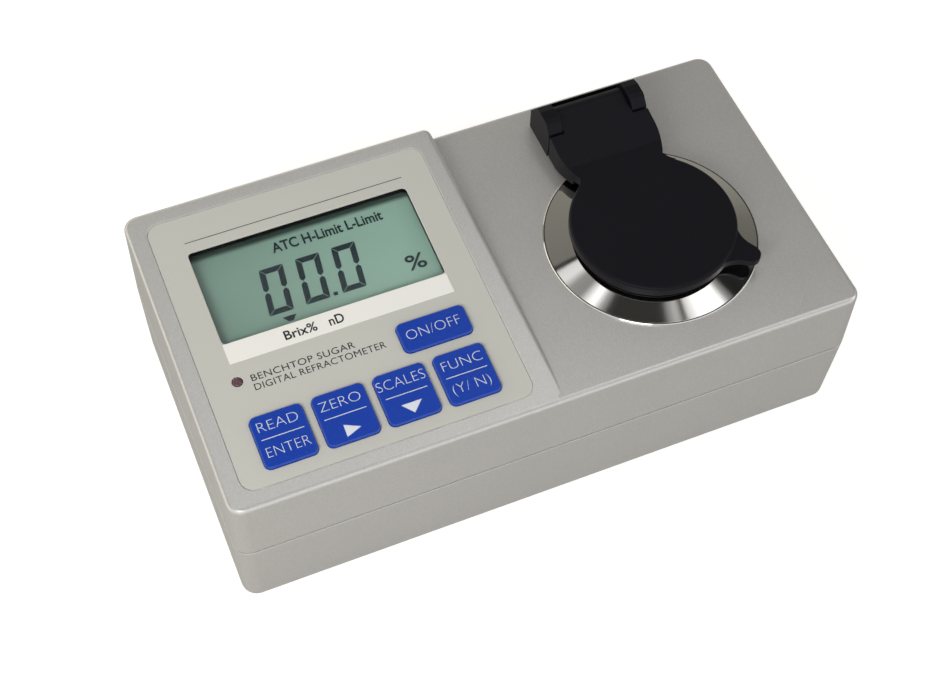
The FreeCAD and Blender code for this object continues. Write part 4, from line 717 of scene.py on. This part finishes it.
for body, (words, divider, arrow) in KEYS.items():
    dress(key_blue, body + "_key")
    dress(plunger_white, body + "_plunger")
    low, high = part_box(body + "_key")
    mid_x = (low.x + high.x) / 2
    mid_y = (low.y + high.y) / 2
    rise = high.z - film_height(high.y - KEY_EDGE)
    for count, (word, off, base_line, width, height) in enumerate(words):
        legend = lettering(word, mid_x + (off - width / 2) * MM, mid_y + base_line * MM, width * MM,
                           height * MM, weight=-0.022)
        show(f"{body}_legend_{count + 1}", laid_on_film(legend, rise, PRINT_T), legend_pale, body)
    shapes = []
    if divider is not None:
        line_y = mid_y + divider * MM
        shapes.append(bar(mid_x - DIVIDER_W / 2, line_y - DIVIDER_T / 2, mid_x + DIVIDER_W / 2,
                          line_y + DIVIDER_T / 2))
    if arrow:
        shapes.append([(mid_x + x * MM, mid_y + y * MM) for x, y in arrow])
    if shapes:
        show(f"{body}_marks", laid_on_film(plates(shapes), rise, PRINT_T), legend_pale, body)


# ---------------------------------------------------------------- lamp
# Small round lamp with a dark red tinted dome, unlit, standing through the film.
lamp_red = finish("lamp_red", (0.085, 0.028, 0.046), edge_highlight=(0.16, 0.07, 0.10), bump=0.000005,
                  values={"Grain Scale": 2500.0, "Grain": 0.2, "Mottle Scale": 300.0, "Mottle": 0.3,
                          "Rough Low": 0.15, "Rough High": 0.3, "Edge Radius": 0.0002}, Coat_Weight=0.4)
dress(lamp_red, "indicator_lamp")


# ---------------------------------------------------------------- sample stage and prism
# The stage is turned from stainless steel and polished to a mirror. The prism's round window
# lies in the middle of its well, in a black seal. A brass ring nut holds the stage from inside.
stage_steel = finish("stage_steel", (0.66, 0.65, 0.625), edge_highlight=(0.88, 0.87, 0.85), bump=0.000001,
                     values={"Edge Amount": 0.3, "Edge Radius": 0.0001, "Grain Scale": 1500.0, "Grain": 0.02,
                             "Mottle Scale": 120.0, "Mottle": 0.03, "Rough Low": 0.03, "Rough High": 0.075},
                     Metallic=1.0)
dress(stage_steel, "sample_stage")
machined_brass = finish("machined_brass", (0.62, 0.44, 0.18), edge_highlight=(0.8, 0.62, 0.3), bump=0.00001,
                        values={"Grain Scale": 2500.0, "Grain": 0.15, "Mottle": 0.15, "Rough Low": 0.2,
                                "Rough High": 0.35}, Metallic=1.0)
dress(machined_brass, "stage_ring_nut")
prism_glass = clear_finish("prism_glass", (0.97, 0.99, 0.99), 1.62, 0.01)
dress(prism_glass, "prism", "collimator_lens")
lamp_clear = clear_finish("lamp_clear", (0.95, 0.90, 0.72), 1.5, 0.06)
dress(lamp_clear, "light_source")
seal_dark = finish("seal_dark", (0.012, 0.012, 0.012), edge_highlight=(0.03, 0.03, 0.03), bump=0.00003,
                   values={"Grain Scale": 1600.0, "Grain": 0.4, "Mottle": 0.3, "Rough Low": 0.6,
                           "Rough High": 0.8}, Specular_IOR_Level=0.3)
dress(seal_dark, "prism_seal", "lid_seal")


# ---------------------------------------------------------------- lid and hinge
# The lid is a black moulding in one piece: disc, thumb tab, arm and knuckle. It turns on a
# steel pin in the ears of a black hinge block that is screwed to the deck from below.
# The lighter colour given for its edges is a painted highlight along the lid's rounded edges.
lid_black = finish("lid_black", (0.0045, 0.0043, 0.0072), edge_highlight=(0.026, 0.025, 0.034), bump=0.000012,
                   values={"Edge Amount": 0.6, "Edge Radius": 0.0003, "Grain Scale": 2200.0, "Grain": 0.3,
                           "Mottle Scale": 40.0, "Mottle": 0.25, "Rough Low": 0.36, "Rough High": 0.48},
                   Specular_IOR_Level=0.14)
dress(lid_black, "lid_cover", "hinge_block")


# ---------------------------------------------------------------- boards, battery and wiring
# Inside: green circuit boards, a rectangular battery with its clip, two insulated leads, and
# a flat cable from the sensor board to the main board.
board_green = finish("board_green", (0.02, 0.16, 0.06), edge_highlight=(0.30, 0.28, 0.14), bump=0.00002,
                     values={"Grain Scale": 900.0, "Grain": 0.25, "Mottle Scale": 120.0, "Mottle": 0.3,
                             "Rough Low": 0.25, "Rough High": 0.4}, Coat_Weight=0.3)
dress(board_green, "main_board", "sensor_board")
battery_wrap = finish("battery_wrap", (0.045, 0.045, 0.05), edge_highlight=(0.3, 0.3, 0.3), bump=0.00001,
                      values={"Grain Scale": 1500.0, "Grain": 0.2, "Mottle": 0.15, "Rough Low": 0.25,
                              "Rough High": 0.4}, Metallic=0.5)
dress(battery_wrap, "battery")
lead_red = finish("lead_red", (0.45, 0.02, 0.015), bump=0.00001,
                  values={"Grain Scale": 1500.0, "Grain": 0.15, "Mottle": 0.1, "Rough Low": 0.4,
                          "Rough High": 0.55})
dress(lead_red, "battery_leads")
ribbon_white = finish("ribbon_white", (0.74, 0.75, 0.77), bump=0.00001,
                      values={"Grain Scale": 1200.0, "Grain": 0.08, "Mottle": 0.06, "Rough Low": 0.4,
                              "Rough High": 0.55})
dress(ribbon_white, "ribbon_cable")
